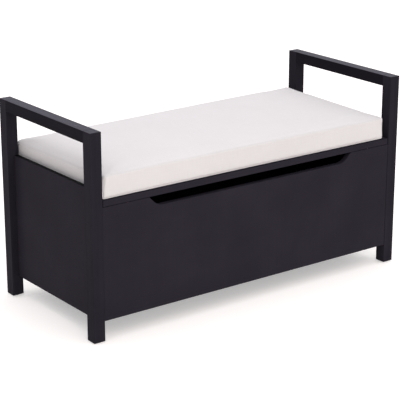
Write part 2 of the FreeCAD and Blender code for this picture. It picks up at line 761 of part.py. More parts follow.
def make_leaf(label, hinge, over, own, other):
    """A plate that wraps the pin at its own knuckles and clears the other leaf's. over is 1 above the pin."""
    low = "leaf_gap / 2" if over > 0 else "-leaf_gap / 2 - leaf_thick"
    plate = box(
        "hinge_length - knuckle_gap", "leaf_width", "leaf_thick",
        "-(hinge_length - knuckle_gap) / 2", "-leaf_width", low,
    )
    rolls = [
        rod("knuckle_radius", f"hinge_length / {KNUCKLES} - knuckle_gap", knuckle_start(n), "0", "0", "x")
        for n in own
    ]
    clearances = [
        box(
            f"hinge_length / {KNUCKLES} + 2 * knuckle_gap", "2 * knuckle_radius", "2 * knuckle_radius",
            f"hinge_length * ({n} / {KNUCKLES} - 0.5) - knuckle_gap",
            "-knuckle_radius - knuckle_gap", "-knuckle_radius",
        )
        for n in other
    ]
    slack = "fit_gap" if over > 0 else "0.2 * fit_gap"
    bore = rod(f"pin_radius + {slack}", "2 * hinge_length", "-hinge_length", "0", "0", "x")
    screw_y = "leaf_screw_y - pin_back_y"
    holes = []
    for step in (-1, 0, 1):
        x = f"{step} * leaf_screw_step"
        face = "-leaf_gap / 2" if over < 0 else "leaf_gap / 2"
        wide, narrow = "screw_head_radius + fit_gap", "screw_radius + fit_gap"
        if over < 0:
            holes.append(cone(narrow, wide, "screw_head_thick", x, screw_y, f"{face} - screw_head_thick"))
        else:
            holes.append(cone(wide, narrow, "screw_head_thick", x, screw_y, face))
        holes.append(rod(narrow, "2 * leaf_thick", x, screw_y, f"{low} - leaf_thick / 2"))
    plate = cut(plate, *clearances)
    leaf = cut(fuse(plate, *rolls), bore, *holes)
    put(leaf, f"{hinge} * hinge_spacing", "pin_back_y", "pin_height")
    return named(leaf, label)


def make_pin(label, hinge):
    """Pin with a flat head against each outer knuckle."""
    shaft = rod("pin_radius", "hinge_length", "-hinge_length / 2", "0", "0", "x")
    outer_end = "hinge_length / 2 - knuckle_gap / 2"
    heads = [
        rod("pin_head_radius", "leaf_thick", start, "0", "0", "x")
        for start in (outer_end, f"-({outer_end}) - leaf_thick")
    ]
    pin = fuse(shaft, *heads)
    put(pin, f"{hinge} * hinge_spacing", "pin_back_y", "pin_height")
    return named(pin, label)


for hinge_name, hinge in HINGES.items():
    make_leaf(f"hinge_{hinge_name}_frame_leaf", hinge, -1, FRAME_KNUCKLES, LID_KNUCKLES)
    make_leaf(f"hinge_{hinge_name}_lid_leaf", hinge, 1, LID_KNUCKLES, FRAME_KNUCKLES)
    make_pin(f"hinge_{hinge_name}_pin", hinge)

leaf_screw = flat_screw()
leaf_screw_spots = [
    (hinge * number("hinge_spacing") + step * number("leaf_screw_step"), number("leaf_screw_y"))
    for hinge in HINGES.values() for step in (-1, 0, 1)
]
half_leaf_gap = number("leaf_gap") / 2
group("hinge_frame_screws", leaf_screw, [
    (x, y, number("pin_height") - half_leaf_gap) for x, y in leaf_screw_spots
])
group("hinge_lid_screws", leaf_screw, [
    turned(x, y, number("pin_height") + half_leaf_gap, UPSIDE_DOWN) for x, y in leaf_screw_spots
])


# ---- Folding lid stays: a parallelogram of the hinge pin, the two arms and the side panel ----
# The lower arm is as long as the lid's pivot is from the hinge pin, and the upper arm as long as the
# foot's pivot is from it, so the lower arm always turns with the lid and the upper arm keeps its direction.

reach_angle = math.degrees(math.atan2(-number("stay_lid_drop"), number("stay_lid_reach")))
upper_angle = math.degrees(math.atan2(number("stay_foot_drop"), -number("stay_foot_back")))
open_bend = upper_angle - reach_angle - number("lid_opening_angle")
stud_reach = number("stay_width") / 2 + number("stop_stud_radius") + number("stay_gap")
stud_angle = open_bend - math.degrees(math.asin(stud_reach / number("stop_stud_distance")))


def stay_turn(side, angle):
    """Local X points along the arm, which rises by the angle towards the front, and local Z inwards."""
    rise = math.radians(angle)
    along = FreeCAD.Vector(0, -math.cos(rise), math.sin(rise))
    inward = FreeCAD.Vector(-side, 0, 0)
    return FreeCAD.Rotation(along, inward.cross(along), inward, "ZXY")


def strap(length, first_hole, second_hole):
    """A flat strap with round ends and a hole at each end, from the origin along X."""
    middle = box(length, "stay_width", "stay_thick", "0", "-stay_width / 2", "0")
    ends = [rod("stay_width / 2", "stay_thick", x, "0", "0") for x in ("0", length)]
    return fuse(middle, *ends), [
        rod(first_hole, "2 * stay_thick", "0", "0", "-stay_thick / 2"),
        rod(second_hole, "2 * stay_thick", length, "0", "-stay_thick / 2"),
    ]


def inward_x(side, layer):
    return f"{side} * (post_inner_x - {layer})"


def make_lower_arm(side_name, side):
    solid, holes = strap("lower_arm_length", "rivet_radius + fit_gap", "rivet_tail_radius + fit_gap")
    turn = math.radians(stud_angle)
    stud_x = f"lower_arm_length + stop_stud_distance * {math.cos(turn):.6f}"
    stud_y = f"{side} * stop_stud_distance * {math.sin(turn):.6f}"
    lobe = rod("2 * stop_stud_radius", "stay_thick", stud_x, stud_y, "0")
    stud = rod("stop_stud_radius", "2 * stay_thick + stay_gap", stud_x, stud_y, "0")
    arm = cut(fuse(solid, lobe, stud), *holes)
    put(arm, inward_x(side, "lower_arm_layer"), "foot_pivot_y", "foot_pivot_z", stay_turn(side, reach_angle))
    return named(arm, f"stay_{side_name}_lower_arm")


def make_upper_arm(side_name, side):
    solid, holes = strap("upper_arm_length", "rivet_radius + fit_gap", "rivet_radius + open_pivot_gap")
    arm = cut(solid, *holes)
    put(arm, inward_x(side, "upper_arm_layer"), "elbow_y", "elbow_z", stay_turn(side, upper_angle))
    return named(arm, f"stay_{side_name}_upper_arm")


def make_foot_bracket(side_name, side):
    """Plate on the side panel that hangs below its pivot."""
    plate = fuse(
        box("foot_bracket_length", "stay_width", "stay_thick", "0", "-stay_width / 2", "0"),
        rod("stay_width / 2", "stay_thick", "0", "0", "0"),
    )
    holes = [rod("rivet_tail_radius + fit_gap", "2 * stay_thick", "0", "0", "-stay_thick / 2")]
    for step in (1, 2):
        holes.append(rod(SCREW_HOLE, "2 * stay_thick", f"{step} * stay_width", "0", "-stay_thick / 2"))
    bracket = cut(plate, *holes)
    put(bracket, inward_x(side, "0"), "foot_pivot_y", "foot_pivot_z", stay_turn(side, -90))
    return named(bracket, f"stay_{side_name}_frame_bracket")


def make_lid_bracket(side_name, side):
    """Angle bracket under the lid: a flange with its screws and an ear that hangs down to the pivot."""
    low_x = f"{side} * (post_inner_x - ear_layer) + {min(-side, 0)} * stay_thick"
    flange_x = f"{side} * (post_inner_x - ear_layer) + {min(-side, 0)} * bracket_flange"
    drop = "lid_bottom - lid_pivot_z"
    ear = box("stay_thick", "stay_width", drop, low_x, "lid_pivot_y - stay_width / 2", "lid_pivot_z")
    tip = rod("stay_width / 2", "stay_thick", low_x, "lid_pivot_y", "lid_pivot_z", "x")
    flange = box(
        "bracket_flange", "bracket_length", "stay_thick",
        flange_x, "lid_pivot_y - bracket_length / 2", "lid_bottom - stay_thick",
    )
    holes = [rod("rivet_tail_radius + fit_gap", "3 * stay_thick", f"{low_x} - stay_thick", "lid_pivot_y",
                 "lid_pivot_z", "x")]
    for step in (-1, 1):
        holes.append(rod(
            SCREW_HOLE, "2 * stay_thick", inward_x(side, "bracket_screw_layer"),
            f"lid_pivot_y + {step} * bracket_screw_step", "lid_bottom - 1.5 * stay_thick",
        ))
    return named(cut(fuse(ear, tip, flange), *holes), f"stay_{side_name}_lid_bracket")


def make_rivet(label, tail_length, shoulder_length, place, side, tail_head=True):
    """A tail through the fixed plate, a shoulder that the loose arm turns on, and a head over it.
    The shoulder starts at the origin and the head is up."""
    pieces = [
        rod("rivet_tail_radius", tail_length, "0", "0", f"-({tail_length})"),
        rod("rivet_radius", shoulder_length, "0", "0", "0"),
        rod("rivet_head_radius", "rivet_head_thick", "0", "0", shoulder_length),
    ]
    if tail_head:
        pieces.append(rod("tail_head_radius", "tail_head_thick", "0", "0",
                          f"-({tail_length}) - tail_head_thick"))
    rivet = fuse(*pieces)
    put(rivet, *place, side)
    return named(rivet, label)


LOOSE = "stay_thick + 2 * stay_gap"
for side_name, side in SIDES.items():
    make_foot_bracket(side_name, side)
    make_rivet(
        f"stay_{side_name}_foot_rivet", "stay_thick", LOOSE,
        (inward_x(side, "stay_thick"), "foot_pivot_y", "foot_pivot_z"), X_WAY[-side], tail_head=False,
    )
    make_lower_arm(side_name, side)
    make_rivet(
        f"stay_{side_name}_elbow_rivet", "stay_thick", LOOSE,
        (inward_x(side, "(lower_arm_layer + stay_thick)"), "elbow_y", "elbow_z"), X_WAY[-side],
    )
    make_upper_arm(side_name, side)
    make_rivet(
        f"stay_{side_name}_lid_rivet", "stay_thick", LOOSE,
        (inward_x(side, "ear_layer"), "lid_pivot_y", "lid_pivot_z"), X_WAY[side],
    )
    make_lid_bracket(side_name, side)

short_screw = pan_screw("short_screw_length")
group("stay_frame_screws", short_screw, [
    turned(
        side * (number("post_inner_x") - number("stay_thick")), number("foot_pivot_y"),
        number("foot_pivot_z") - step * number("stay_width"), X_WAY[-side],
    )
    for side in SIDES.values() for step in (1, 2)
])
group("stay_lid_screws", short_screw, [
    turned(
        side * (number("post_inner_x") - number("bracket_screw_layer")),
        number("lid_pivot_y") + step * number("bracket_screw_step"),
        number("lid_bottom") - number("stay_thick"), UPSIDE_DOWN,
    )
    for side in SIDES.values() for step in (-1, 1)
])


# ---- Seat cushion: a cover round a foam block, held by hook-and-loop patches ----

def cushion_block(inset):
    """A block with round corners, smaller than the cushion by the inset all round."""
    body = doc.addObject("PartDesign::Body", "cushion_block")
    sketch = new_sketch(body, "plan", "z")
    rectangle(
        sketch,
        f"2 * post_inner_x - cushion_left_gap - cushion_right_gap - 2 * ({inset})",
        f"front_outer_y + back_outer_y - cushion_edge_gap - 2 * ({inset})",
    )
    pad = body.newObject("PartDesign::Pad", "loft")
    pad.Profile = sketch
    bind(pad, Length=f"cushion_thick - 2 * ({inset})")
    left = f"-post_inner_x + cushion_left_gap + {inset}"
    put(body, left, f"-front_outer_y + {inset}", f"cushion_bottom + {inset}")
    doc.recompute()
    uprights = [
        f"Edge{n + 1}" for n, edge in enumerate(pad.Shape.Edges)
        if abs(edge.Vertexes[0].Point.z - edge.Vertexes[-1].Point.z) > 1
    ]
    corners = rounded(body, pad, uprights, f"cushion_corner - ({inset})", "corners")
    doc.recompute()
    rims = [
        f"Edge{n + 1}" for n, edge in enumerate(corners.Shape.Edges)
        if abs(edge.Vertexes[0].Point.z - edge.Vertexes[-1].Point.z) < 0.01
    ]
    rounded(body, corners, rims, f"cushion_top_round - ({inset})", "rims")
    doc.recompute()
    return body


named(cut(cushion_block("0"), cushion_block("cover_thick")), "cushion_cover")
named(cushion_block("cover_thick + foam_gap"), "cushion_foam")
patch = box("patch_length", "patch_width", "patch_thick", "-patch_length / 2", "-patch_width / 2", "0")
patch_spots = [
    (side * number("patch_x"), end * number("patch_y")) for side in SIDES.values() for end in ENDS.values()
]
group("lid_hook_patches", patch, [(x, y, number("seat_top")) for x, y in patch_spots])
group("cushion_loop_patches", patch, [
    (x, y, number("seat_top") + number("patch_thick")) for x, y in patch_spots
])


# ---- Checks, then one file for each sub-part ----

doc.recompute()
for item in doc.Objects:
    if "Invalid" in item.State or "Error" in item.State:
        raise RuntimeError(f"{item.Label} failed to build: {item.State}")
    if item.TypeId == "PartDesign::Pocket" and item.Shape.Volume > item.BaseFeature.Shape.Volume - 0.1:
        raise RuntimeError(f"{item.Label} cuts nothing")
os.makedirs("parts", exist_ok=True)
for node in nodes:
    if node.Shape.isNull() or not node.Shape.isValid():
        raise RuntimeError(f"{node.Label} has no valid shape")
    node.Shape.exportStep(os.path.join("parts", f"{node.Label}.step"))
    print(f"{node.Label}: {len(node.Shape.Solids)} solid(s), {node.Shape.Volume:.0f} mm3")
print(f"{len(nodes)} sub-parts written")
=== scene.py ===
"""Cushioned flip-top storage bench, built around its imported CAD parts: eased lacquered boards, a stuffed seat
cushion with a zip, finished hardware, and a plain studio stage."""

import json
from math import pi, radians

import bmesh
import bpy
import numpy as np
from bpy.props import FloatProperty, FloatVectorProperty, IntProperty, PointerProperty
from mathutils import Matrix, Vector, noise
from mathutils.bvhtree import BVHTree

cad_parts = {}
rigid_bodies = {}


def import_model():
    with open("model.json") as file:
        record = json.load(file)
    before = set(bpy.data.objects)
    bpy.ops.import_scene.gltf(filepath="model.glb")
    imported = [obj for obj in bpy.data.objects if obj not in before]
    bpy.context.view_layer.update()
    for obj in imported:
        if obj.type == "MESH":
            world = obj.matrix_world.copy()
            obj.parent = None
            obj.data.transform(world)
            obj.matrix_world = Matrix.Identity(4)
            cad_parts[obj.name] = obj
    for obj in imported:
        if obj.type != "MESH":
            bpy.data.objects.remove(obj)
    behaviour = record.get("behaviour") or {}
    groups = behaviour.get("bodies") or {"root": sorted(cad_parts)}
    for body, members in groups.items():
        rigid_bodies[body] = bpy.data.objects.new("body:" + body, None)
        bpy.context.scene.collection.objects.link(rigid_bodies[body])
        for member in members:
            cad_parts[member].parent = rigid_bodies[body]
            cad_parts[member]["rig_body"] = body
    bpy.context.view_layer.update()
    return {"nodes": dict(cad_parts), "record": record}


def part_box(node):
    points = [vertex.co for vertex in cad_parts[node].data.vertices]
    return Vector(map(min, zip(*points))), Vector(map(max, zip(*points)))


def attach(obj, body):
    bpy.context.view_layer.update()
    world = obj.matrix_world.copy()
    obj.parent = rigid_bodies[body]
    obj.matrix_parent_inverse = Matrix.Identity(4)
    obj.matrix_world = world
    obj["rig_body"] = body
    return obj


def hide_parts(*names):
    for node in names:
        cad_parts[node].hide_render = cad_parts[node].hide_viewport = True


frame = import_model()

bl_info = {
    "name": "Storage Bench",
    "version": (1, 0, 0),
    "blender": (4, 5, 0),
    "location": "3D View > Sidebar > Bench",
    "description": "Builds a flip-top storage bench with a loose seat cushion",
    "category": "Add Mesh",
}

POSTS = ["post_front_left", "post_front_right", "post_back_left", "post_back_right"]
RAILS = ["arm_rail_left", "arm_rail_right"]
SIDE_PANELS = ["side_panel_left", "side_panel_right"]
WIDE_PANELS = ["front_panel", "back_panel", "lid_board"]
BATTENS = {"cleat_front": "x", "cleat_back": "x", "cleat_left": "y", "cleat_right": "y", "bottom_brace": "y"}
NODE_BODY = {name: node["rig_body"] for name, node in frame["nodes"].items()}
NODE_SLOT = {part["node"]: part["material_slot"] for part in frame["record"]["subparts"]}
CUSHION_LOW, CUSHION_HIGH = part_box("cushion_cover")
MM = 0.001
ON_PLANE = 0.01 * MM
DIP_HALF_LENGTH, DIP_BOTTOM = 330 * MM, 300 * MM


# ---- Sizes and colours a user would change ----

def colour(name, description, value):
    return FloatVectorProperty(
        name=name, description=description, default=value, size=3, min=0, max=1, subtype="COLOR",
    )


def length(name, description, value):
    return FloatProperty(name=name, description=description, default=value, min=0, unit="LENGTH", precision=5)


class BenchFrameSettings(bpy.types.PropertyGroup):
    lacquer: colour("Lacquer", "Colour of the lacquer on the posts", (0.0190, 0.0168, 0.0228))
    shaded_rail_lacquer: colour("Shaded rail lacquer", "Colour of the arm rails' lacquer, darkened as painted shade on the rail sides", (0.0112, 0.0100, 0.0136))
    lit_top_lacquer: colour("Top lacquer, painted reflection", "Colour of the lacquer on the flat tops, lightened as a painted sky reflection", (0.043, 0.039, 0.052))
    board_lacquer: colour("Board lacquer", "Colour of the lacquer on the boards", (0.0222, 0.0192, 0.0260))
    shaded_top_edge: colour("Shaded top edge", "Colour of the side panels' top faces, darkened as painted shade under the cushion", (0.004, 0.004, 0.0045))
    floor_board: colour("Box floor", "Colour of the laminated box floor", (0.014, 0.013, 0.0145))
    batten: colour("Batten", "Colour of the stained battens", (0.022, 0.018, 0.016))
    post_ease: length("Post easing", "Width of the eased edges of posts and rails", 0.9 * MM)
    board_ease: length("Board easing", "Width of the eased edges of the boards", 0.8 * MM)
    batten_ease: length("Batten easing", "Width of the sanded edges of the battens", 1.2 * MM)
    ease_steps: IntProperty(
        name="Easing steps", description="Faces across each eased edge", default=3, min=1, max=8,
    )


class BenchCushionSettings(bpy.types.PropertyGroup):
    cloth: colour("Cloth", "Colour of the cover's cloth", (0.670, 0.648, 0.640))
    cloth_shade: colour("Cloth shade", "Colour between the cover's threads", (0.585, 0.558, 0.545))
    zip_tape: colour("Zip tape", "Colour of the zip's woven tape", (0.66, 0.62, 0.585))
    cell: length("Cell", "Spacing of the simulated cloth's grid", 7 * MM)
    corner: length("Corner", "Radius of the cushion's corners seen from above", 13 * MM)
    edge: length("Edge", "How far the rolled edge reaches in from the side", 8 * MM)
    droop: length("Droop", "How far the top sinks at the left end", 9 * MM)
    droop_reach: length("Droop reach", "How far in from the left end the top sinks", 26 * MM)
    slack: length("Slack", "How much smaller the cover is before it is filled", 4 * MM)
    swell: length("Swell", "Furthest that the filling pushes the cloth out", 5.5 * MM)
    pull_in: length("Pull-in", "How far the long sides pull in between the corners", 1.8 * MM)
    seam_depth: length("Seam depth", "Depth of the valley along a sewn seam", 0.35 * MM)
    seam_width: length("Seam width", "Half width of the valley along a sewn seam", 1.9 * MM)
    pressure: FloatProperty(
        name="Pressure", description="Push of the filling on the cloth", default=4.0, min=0,
    )
    frames: IntProperty(name="Frames", description="Simulated steps", default=20, min=1, max=60)
    zip_length: length("Zip length", "Length of the zip along the back", 560 * MM)
    tooth_pitch: length("Tooth pitch", "Distance from one zip tooth to the next", 1.5 * MM)
    stitch: length("Stitch", "Length of one stitch", 2.6 * MM)
    thread: length("Thread", "Radius of the sewing thread", 0.24 * MM)


class BenchHardwareSettings(bpy.types.PropertyGroup):
    nickel: colour("Nickel", "Colour of the hinges", (0.56, 0.55, 0.54))
    zinc: colour("Zinc", "Colour of screws and stays", (0.60, 0.61, 0.62))
    cast_zinc: colour("Cast zinc", "Colour of the cam locks", (0.42, 0.42, 0.43))
    beech: colour("Beech", "Colour of the dowels", (0.60, 0.42, 0.25))
    plastic: colour("Plastic", "Colour of the foot glides and tapes", (0.02, 0.02, 0.021))
    rubber: colour("Rubber", "Colour of the lid bumpers", (0.62, 0.62, 0.6))


class BenchStageSettings(bpy.types.PropertyGroup):
    floor: colour("Floor", "Colour of the studio floor", (0.79, 0.75, 0.71))
    camera_place: FloatVectorProperty(
        name="Camera place", description="Where the camera stands", default=(-2.143, -2.863, 1.370),
        size=3, subtype="TRANSLATION", unit="LENGTH",
    )
    camera_pitch: FloatProperty(
        name="Camera pitch", description="Angle up from straight down", default=radians(72), unit="ROTATION",
    )
    camera_turn: FloatProperty(
        name="Camera turn", description="Turn about the upright", default=radians(-36.6), unit="ROTATION",
    )
    lens: FloatProperty(
        name="Lens", description="Focal length of the camera", default=132.7, min=1, unit="CAMERA",
    )
    sky: FloatProperty(name="Sky", description="Strength of the light from all round", default=1.14, min=0)
    shade: FloatProperty(
        name="Shaded side", description="Share of the light from all round that comes from the left",
        default=0.15, min=0, max=1,
    )
    key: FloatProperty(
        name="Key", description="Power of the main light, a soft panel", default=11, min=0, unit="POWER",
    )
    glow: FloatProperty(
        name="Floor glow", description="Light that comes up through the floor", default=0.38, min=0,
    )


# ---- Node trees ----

class Nodes:
    """Adds nodes to one tree. A socket takes a plain value or another node's output."""

    def __init__(self, tree):
        self.tree = tree

    def join(self, socket, value):
        if isinstance(value, bpy.types.NodeSocket):
            self.tree.links.new(value, socket)
        else:
            socket.default_value = value

    def add(self, kind, values=None, output=0, **settings):
        node = self.tree.nodes.new(kind)
        for name, value in settings.items():
            setattr(node, name, value)
        for socket, value in (values or {}).items():
            self.join(node.inputs[socket], value)
        return node.outputs[output]

    def math(self, operation, *values, clamp=False):
        return self.add("ShaderNodeMath", dict(enumerate(values)), operation=operation, use_clamp=clamp)

    def vector(self, operation, *values):
        return self.add("ShaderNodeVectorMath", dict(enumerate(values)), operation=operation)

    def stretch(self, vector, x, y, z):
        return self.vector("MULTIPLY", vector, (x, y, z))

    def noise(self, vector, scale, detail=3.0, rough=0.5):
        return self.add(
            "ShaderNodeTexNoise", {"Vector": vector, "Scale": scale, "Detail": detail, "Roughness": rough},
        )

    def span(self, value, low, high, to_low=0.0, to_high=1.0):
        return self.add("ShaderNodeMapRange", {0: value, 1: low, 2: high, 3: to_low, 4: to_high})

    def blend(self, share, first, second, mode="MIX"):
        return self.add(
            "ShaderNodeMix", {0: share, 6: first, 7: second}, output=2, data_type="RGBA", blend_type=mode,
        )


def solid(rgb, by=1.0):
    """A colour socket's four numbers, scaled."""
    return (*(channel * by for channel in rgb), 1.0)


def shader_group(name, takes, gives, build):
    """The named shader group, built the first time it is asked for."""
    tree = bpy.data.node_groups.get(name)
    if tree is None:
        tree = bpy.data.node_groups.new(name, "ShaderNodeTree")
        for label, kind, default in takes:
            tree.interface.new_socket(label, in_out="INPUT", socket_type=kind).default_value = default
        for label, kind in gives:
            tree.interface.new_socket(label, in_out="OUTPUT", socket_type=kind)
        inside = tree.nodes.new("NodeGroupInput")
        outside = tree.nodes.new("NodeGroupOutput")
        nodes = Nodes(tree)
        for label, value in build(nodes, inside.outputs).items():
            nodes.join(outside.inputs[label], value)
    return tree


def place(nodes, tree, values):
    """The group as a node of this material, with its own values."""
    node = nodes.tree.nodes.new("ShaderNodeGroup")
    node.node_tree = tree
    for label, value in values.items():
        nodes.join(node.inputs[label], value)
    return node.outputs


VALUE, COLOUR, VECTOR = "NodeSocketFloat", "NodeSocketColor", "NodeSocketVector"


def lacquer_group():
    def build(nodes, given):
        place_at = given["Vector"]
        lines = nodes.noise(nodes.stretch(place_at, 420, 420, 9), 1.0, 4.0, 0.62)
        pores = nodes.span(lines, 0.56, 0.74)
        bands = nodes.noise(nodes.stretch(place_at, 60, 60, 1.6), 1.0, 3.0, 0.5)
        cloud = nodes.noise(place_at, 6.5, 3.0, 0.55)
        peel = nodes.noise(place_at, 620.0, 2.0, 0.45)
        dust = nodes.span(nodes.noise(place_at, 1500.0, 1.0, 0.5), 0.70, 0.80)
        patches = nodes.span(nodes.noise(place_at, 90.0, 4.0), 0.3, 0.7, 0.45, 1.0)
        # The arris strip in patches: partly edge wear, partly a painted highlight along the eased edges.
        highlit = nodes.math("MULTIPLY", given["Arris"], patches)
        grained = nodes.math("MULTIPLY", pores, nodes.math("MULTIPLY", given["Grain"], 0.18))
        tone = nodes.math("ADD", nodes.span(cloud, 0.3, 0.7, 0.90, 1.12), nodes.math(
            "MULTIPLY", given["Grain"], nodes.span(bands, 0.3, 0.7, -0.10, 0.10)))
        dimmed = nodes.math("SUBTRACT", tone, grained)
        grey = nodes.add("ShaderNodeCombineColor", {0: dimmed, 1: dimmed, 2: dimmed})
        base = nodes.blend(1.0, given["Base"], grey, "MULTIPLY")
        # The arris strip is blended towards a lighter grey, part edge wear and part painted highlight.
        rubbed_and_highlit = nodes.blend(nodes.math("MULTIPLY", highlit, 0.45), base, (0.085, 0.081, 0.089, 1.0))
        speck = nodes.blend(nodes.math("MULTIPLY", dust, 0.22), rubbed_and_highlit, (0.05, 0.048, 0.052, 1.0))
        dulled = nodes.math("MULTIPLY", pores, nodes.math("MULTIPLY", given["Grain"], 0.06))
        gloss = nodes.math("ADD", nodes.span(cloud, 0.25, 0.75, 0.235, 0.295), dulled)
        dusty = nodes.math("ADD", gloss, nodes.math("MULTIPLY", dust, 0.08))
        rough = nodes.math("SUBTRACT", dusty, nodes.math("MULTIPLY", highlit, 0.05))
        height = nodes.math("SUBTRACT", nodes.math("MULTIPLY", peel, given["Peel Height"]), nodes.math(
            "MULTIPLY", pores, given["Grain Height"]))
        return {"Color": speck, "Roughness": rough, "Height": height}

    return shader_group("Sprayed lacquer", [
        ("Vector", VECTOR, (0, 0, 0)), ("Base", COLOUR, (0.01, 0.01, 0.01, 1)), ("Arris", VALUE, 0.0),
        ("Grain", VALUE, 0.0), ("Grain Height", VALUE, 0.0), ("Peel Height", VALUE, 0.0),
    ], [("Color", COLOUR), ("Roughness", VALUE), ("Height", VALUE)], build)


def grain_group():
    def build(nodes, given):
        place_at = given["Vector"]
        sway = nodes.noise(nodes.stretch(place_at, 22, 22, 2.5), 1.0, 2.0)
        across = nodes.add("ShaderNodeSeparateXYZ", {0: place_at})
        turns = nodes.math("MULTIPLY", across, given["Rings"])
        rings = nodes.math("SINE", nodes.math("ADD", turns, nodes.math("MULTIPLY", sway, 9.0)))
        early = nodes.span(rings, -1.0, 1.0)
        fibre = nodes.noise(nodes.stretch(place_at, 1400, 1400, 28), 1.0, 3.0, 0.6)
        share = nodes.math("ADD", nodes.math("MULTIPLY", early, 0.6), nodes.math("MULTIPLY", fibre, 0.4))
        tint = nodes.blend(share, given["Dark"], given["Light"])
        rough = nodes.span(share, 0.2, 0.8, 0.78, 0.60)
        ribs = nodes.math("ADD", fibre, nodes.math("MULTIPLY", early, 0.4))
        height = nodes.math("MULTIPLY", ribs, given["Relief"])
        return {"Color": tint, "Roughness": rough, "Height": height}

    return shader_group("Bare wood grain", [
        ("Vector", VECTOR, (0, 0, 0)),
        ("Light", COLOUR, (0.6, 0.4, 0.25, 1)), ("Dark", COLOUR, (0.4, 0.25, 0.15, 1)),
        ("Rings", VALUE, 1500.0), ("Relief", VALUE, 0.00005),
    ], [("Color", COLOUR), ("Roughness", VALUE), ("Height", VALUE)], build)


def weave_group():
    def build(nodes, given):
        spot = given["Vector"]
        parts = nodes.tree.nodes.new("ShaderNodeSeparateXYZ")
        wobble = nodes.add("ShaderNodeTexNoise", {"Vector": spot, "Scale": 160.0, "Detail": 2.0}, output=1)
        sway = nodes.vector("SUBTRACT", wobble, (0.5, 0.5, 0.5))
        shaken = nodes.vector("ADD", spot, nodes.stretch(sway, 0.5 * MM, 0.5 * MM, 0))
        nodes.join(parts.inputs[0], shaken)
        turns = nodes.math("DIVIDE", pi, given["Pitch"])
        warp = nodes.math("SINE", nodes.math("MULTIPLY", parts.outputs[0], turns))
        weft = nodes.math("SINE", nodes.math("MULTIPLY", parts.outputs[1], turns))
        over = nodes.span(nodes.math("MULTIPLY", warp, weft), -1.0, 1.0)
        slub_warp = nodes.noise(nodes.stretch(spot, 1100, 26, 1), 1.0, 2.0, 0.6)
        slub_weft = nodes.noise(nodes.stretch(spot, 26, 1100, 1), 1.0, 2.0, 0.6)
        slub = nodes.math("MULTIPLY", nodes.math("ADD", slub_warp, slub_weft), 0.5)
        thick = nodes.span(slub, 0.38, 0.62)
        share = nodes.math("ADD", nodes.math("MULTIPLY", over, 0.45), nodes.math("MULTIPLY", thick, 0.55))
        swell = nodes.math("ADD", over, nodes.math("MULTIPLY", thick, 0.8))
        height = nodes.math("MULTIPLY", swell, given["Relief"])
        return {"Threads": share, "Height": height}

    return shader_group("Plain weave", [
        ("Vector", VECTOR, (0, 0, 0)), ("Pitch", VALUE, 0.0008), ("Relief", VALUE, 0.00008),
    ], [("Threads", VALUE), ("Height", VALUE)], build)


def metal_group():
    def build(nodes, given):
        place_at = given["Vector"]
        streak = nodes.noise(nodes.stretch(place_at, 3200, 3200, 40), 1.0, 2.0, 0.6)
        bloom = nodes.noise(place_at, 240.0, 4.0, 0.6)
        pit = nodes.span(nodes.noise(place_at, 2600.0, 1.0), 0.66, 0.78)
        tint = nodes.blend(nodes.span(bloom, 0.3, 0.7), given["Dark"], given["Light"])
        rough = nodes.math("ADD", nodes.span(bloom, 0.3, 0.7, 0.26, 0.40), nodes.math("MULTIPLY", pit, 0.2))
        marks = nodes.math("SUBTRACT", nodes.math("MULTIPLY", streak, given["Brushed"]), pit)
        height = nodes.math("MULTIPLY", marks, given["Relief"])
        return {"Color": tint, "Roughness": rough, "Height": height}

    return shader_group("Plated metal", [
        ("Vector", VECTOR, (0, 0, 0)),
        ("Light", COLOUR, (0.6, 0.6, 0.6, 1)), ("Dark", COLOUR, (0.4, 0.4, 0.4, 1)),
        ("Brushed", VALUE, 1.0), ("Relief", VALUE, 0.00001),
    ], [("Color", COLOUR), ("Roughness", VALUE), ("Height", VALUE)], build)


def moulded_group():
    def build(nodes, given):
        place_at = given["Vector"]
        grit = nodes.noise(place_at, given["Grit Scale"], 3.0, 0.6)
        cloud = nodes.noise(place_at, 45.0, 3.0)
        tint = nodes.blend(nodes.span(cloud, 0.3, 0.7), given["Dark"], given["Light"])
        rough = nodes.span(grit, 0.3, 0.7, 0.42, 0.62)
        return {"Color": tint, "Roughness": rough, "Height": nodes.math("MULTIPLY", grit, given["Relief"])}

    return shader_group("Moulded surface", [
        ("Vector", VECTOR, (0, 0, 0)),
        ("Light", COLOUR, (0.1, 0.1, 0.1, 1)), ("Dark", COLOUR, (0.05, 0.05, 0.05, 1)),
        ("Grit Scale", VALUE, 1400.0), ("Relief", VALUE, 0.00003),
    ], [("Color", COLOUR), ("Roughness", VALUE), ("Height", VALUE)], build)


GRAIN_TURN = {"x": (0, pi / 2, 0), "y": (pi / 2, 0, 0), "z": (0, 0, 0)}


def start_material(name, uniform, along="z"):
    """A new material, its nodes, its shader, and the object's coordinates with Z turned along the grain."""
    material = bpy.data.materials.new(name)
    material.use_nodes = True
    nodes = Nodes(material.node_tree)
    shader = material.node_tree.nodes["Principled BSDF"]
    for socket, value in uniform.items():
        shader.inputs[socket].default_value = value
    position = nodes.add("ShaderNodeTexCoord", output=3)
    turned = nodes.add("ShaderNodeMapping", {0: position, 2: GRAIN_TURN[along]})
    return material, nodes, shader, turned


def finish_material(nodes, shader, colour_from, rough_from, height_from=None):
    nodes.join(shader.inputs["Base Color"], colour_from)
    nodes.join(shader.inputs["Roughness"], rough_from)
    if height_from is not None:
        bump = nodes.add("ShaderNodeBump", {"Height": height_from, "Distance": 1.0, "Strength": 1.0})
        nodes.join(shader.inputs["Normal"], bump)


def lacquer(name, base, along, grain, grain_height, peel, specular):
    material, nodes, shader, turned = start_material(name, {"Specular IOR Level": specular}, along)
    arris = nodes.add("ShaderNodeAttribute", output=2, attribute_name="arris")
    given = place(nodes, lacquer_group(), {
        "Vector": turned, "Base": solid(base), "Arris": arris, "Grain": grain,
        "Grain Height": grain_height, "Peel Height": peel,
    })
    finish_material(nodes, shader, given["Color"], given["Roughness"], given["Height"])
    return material


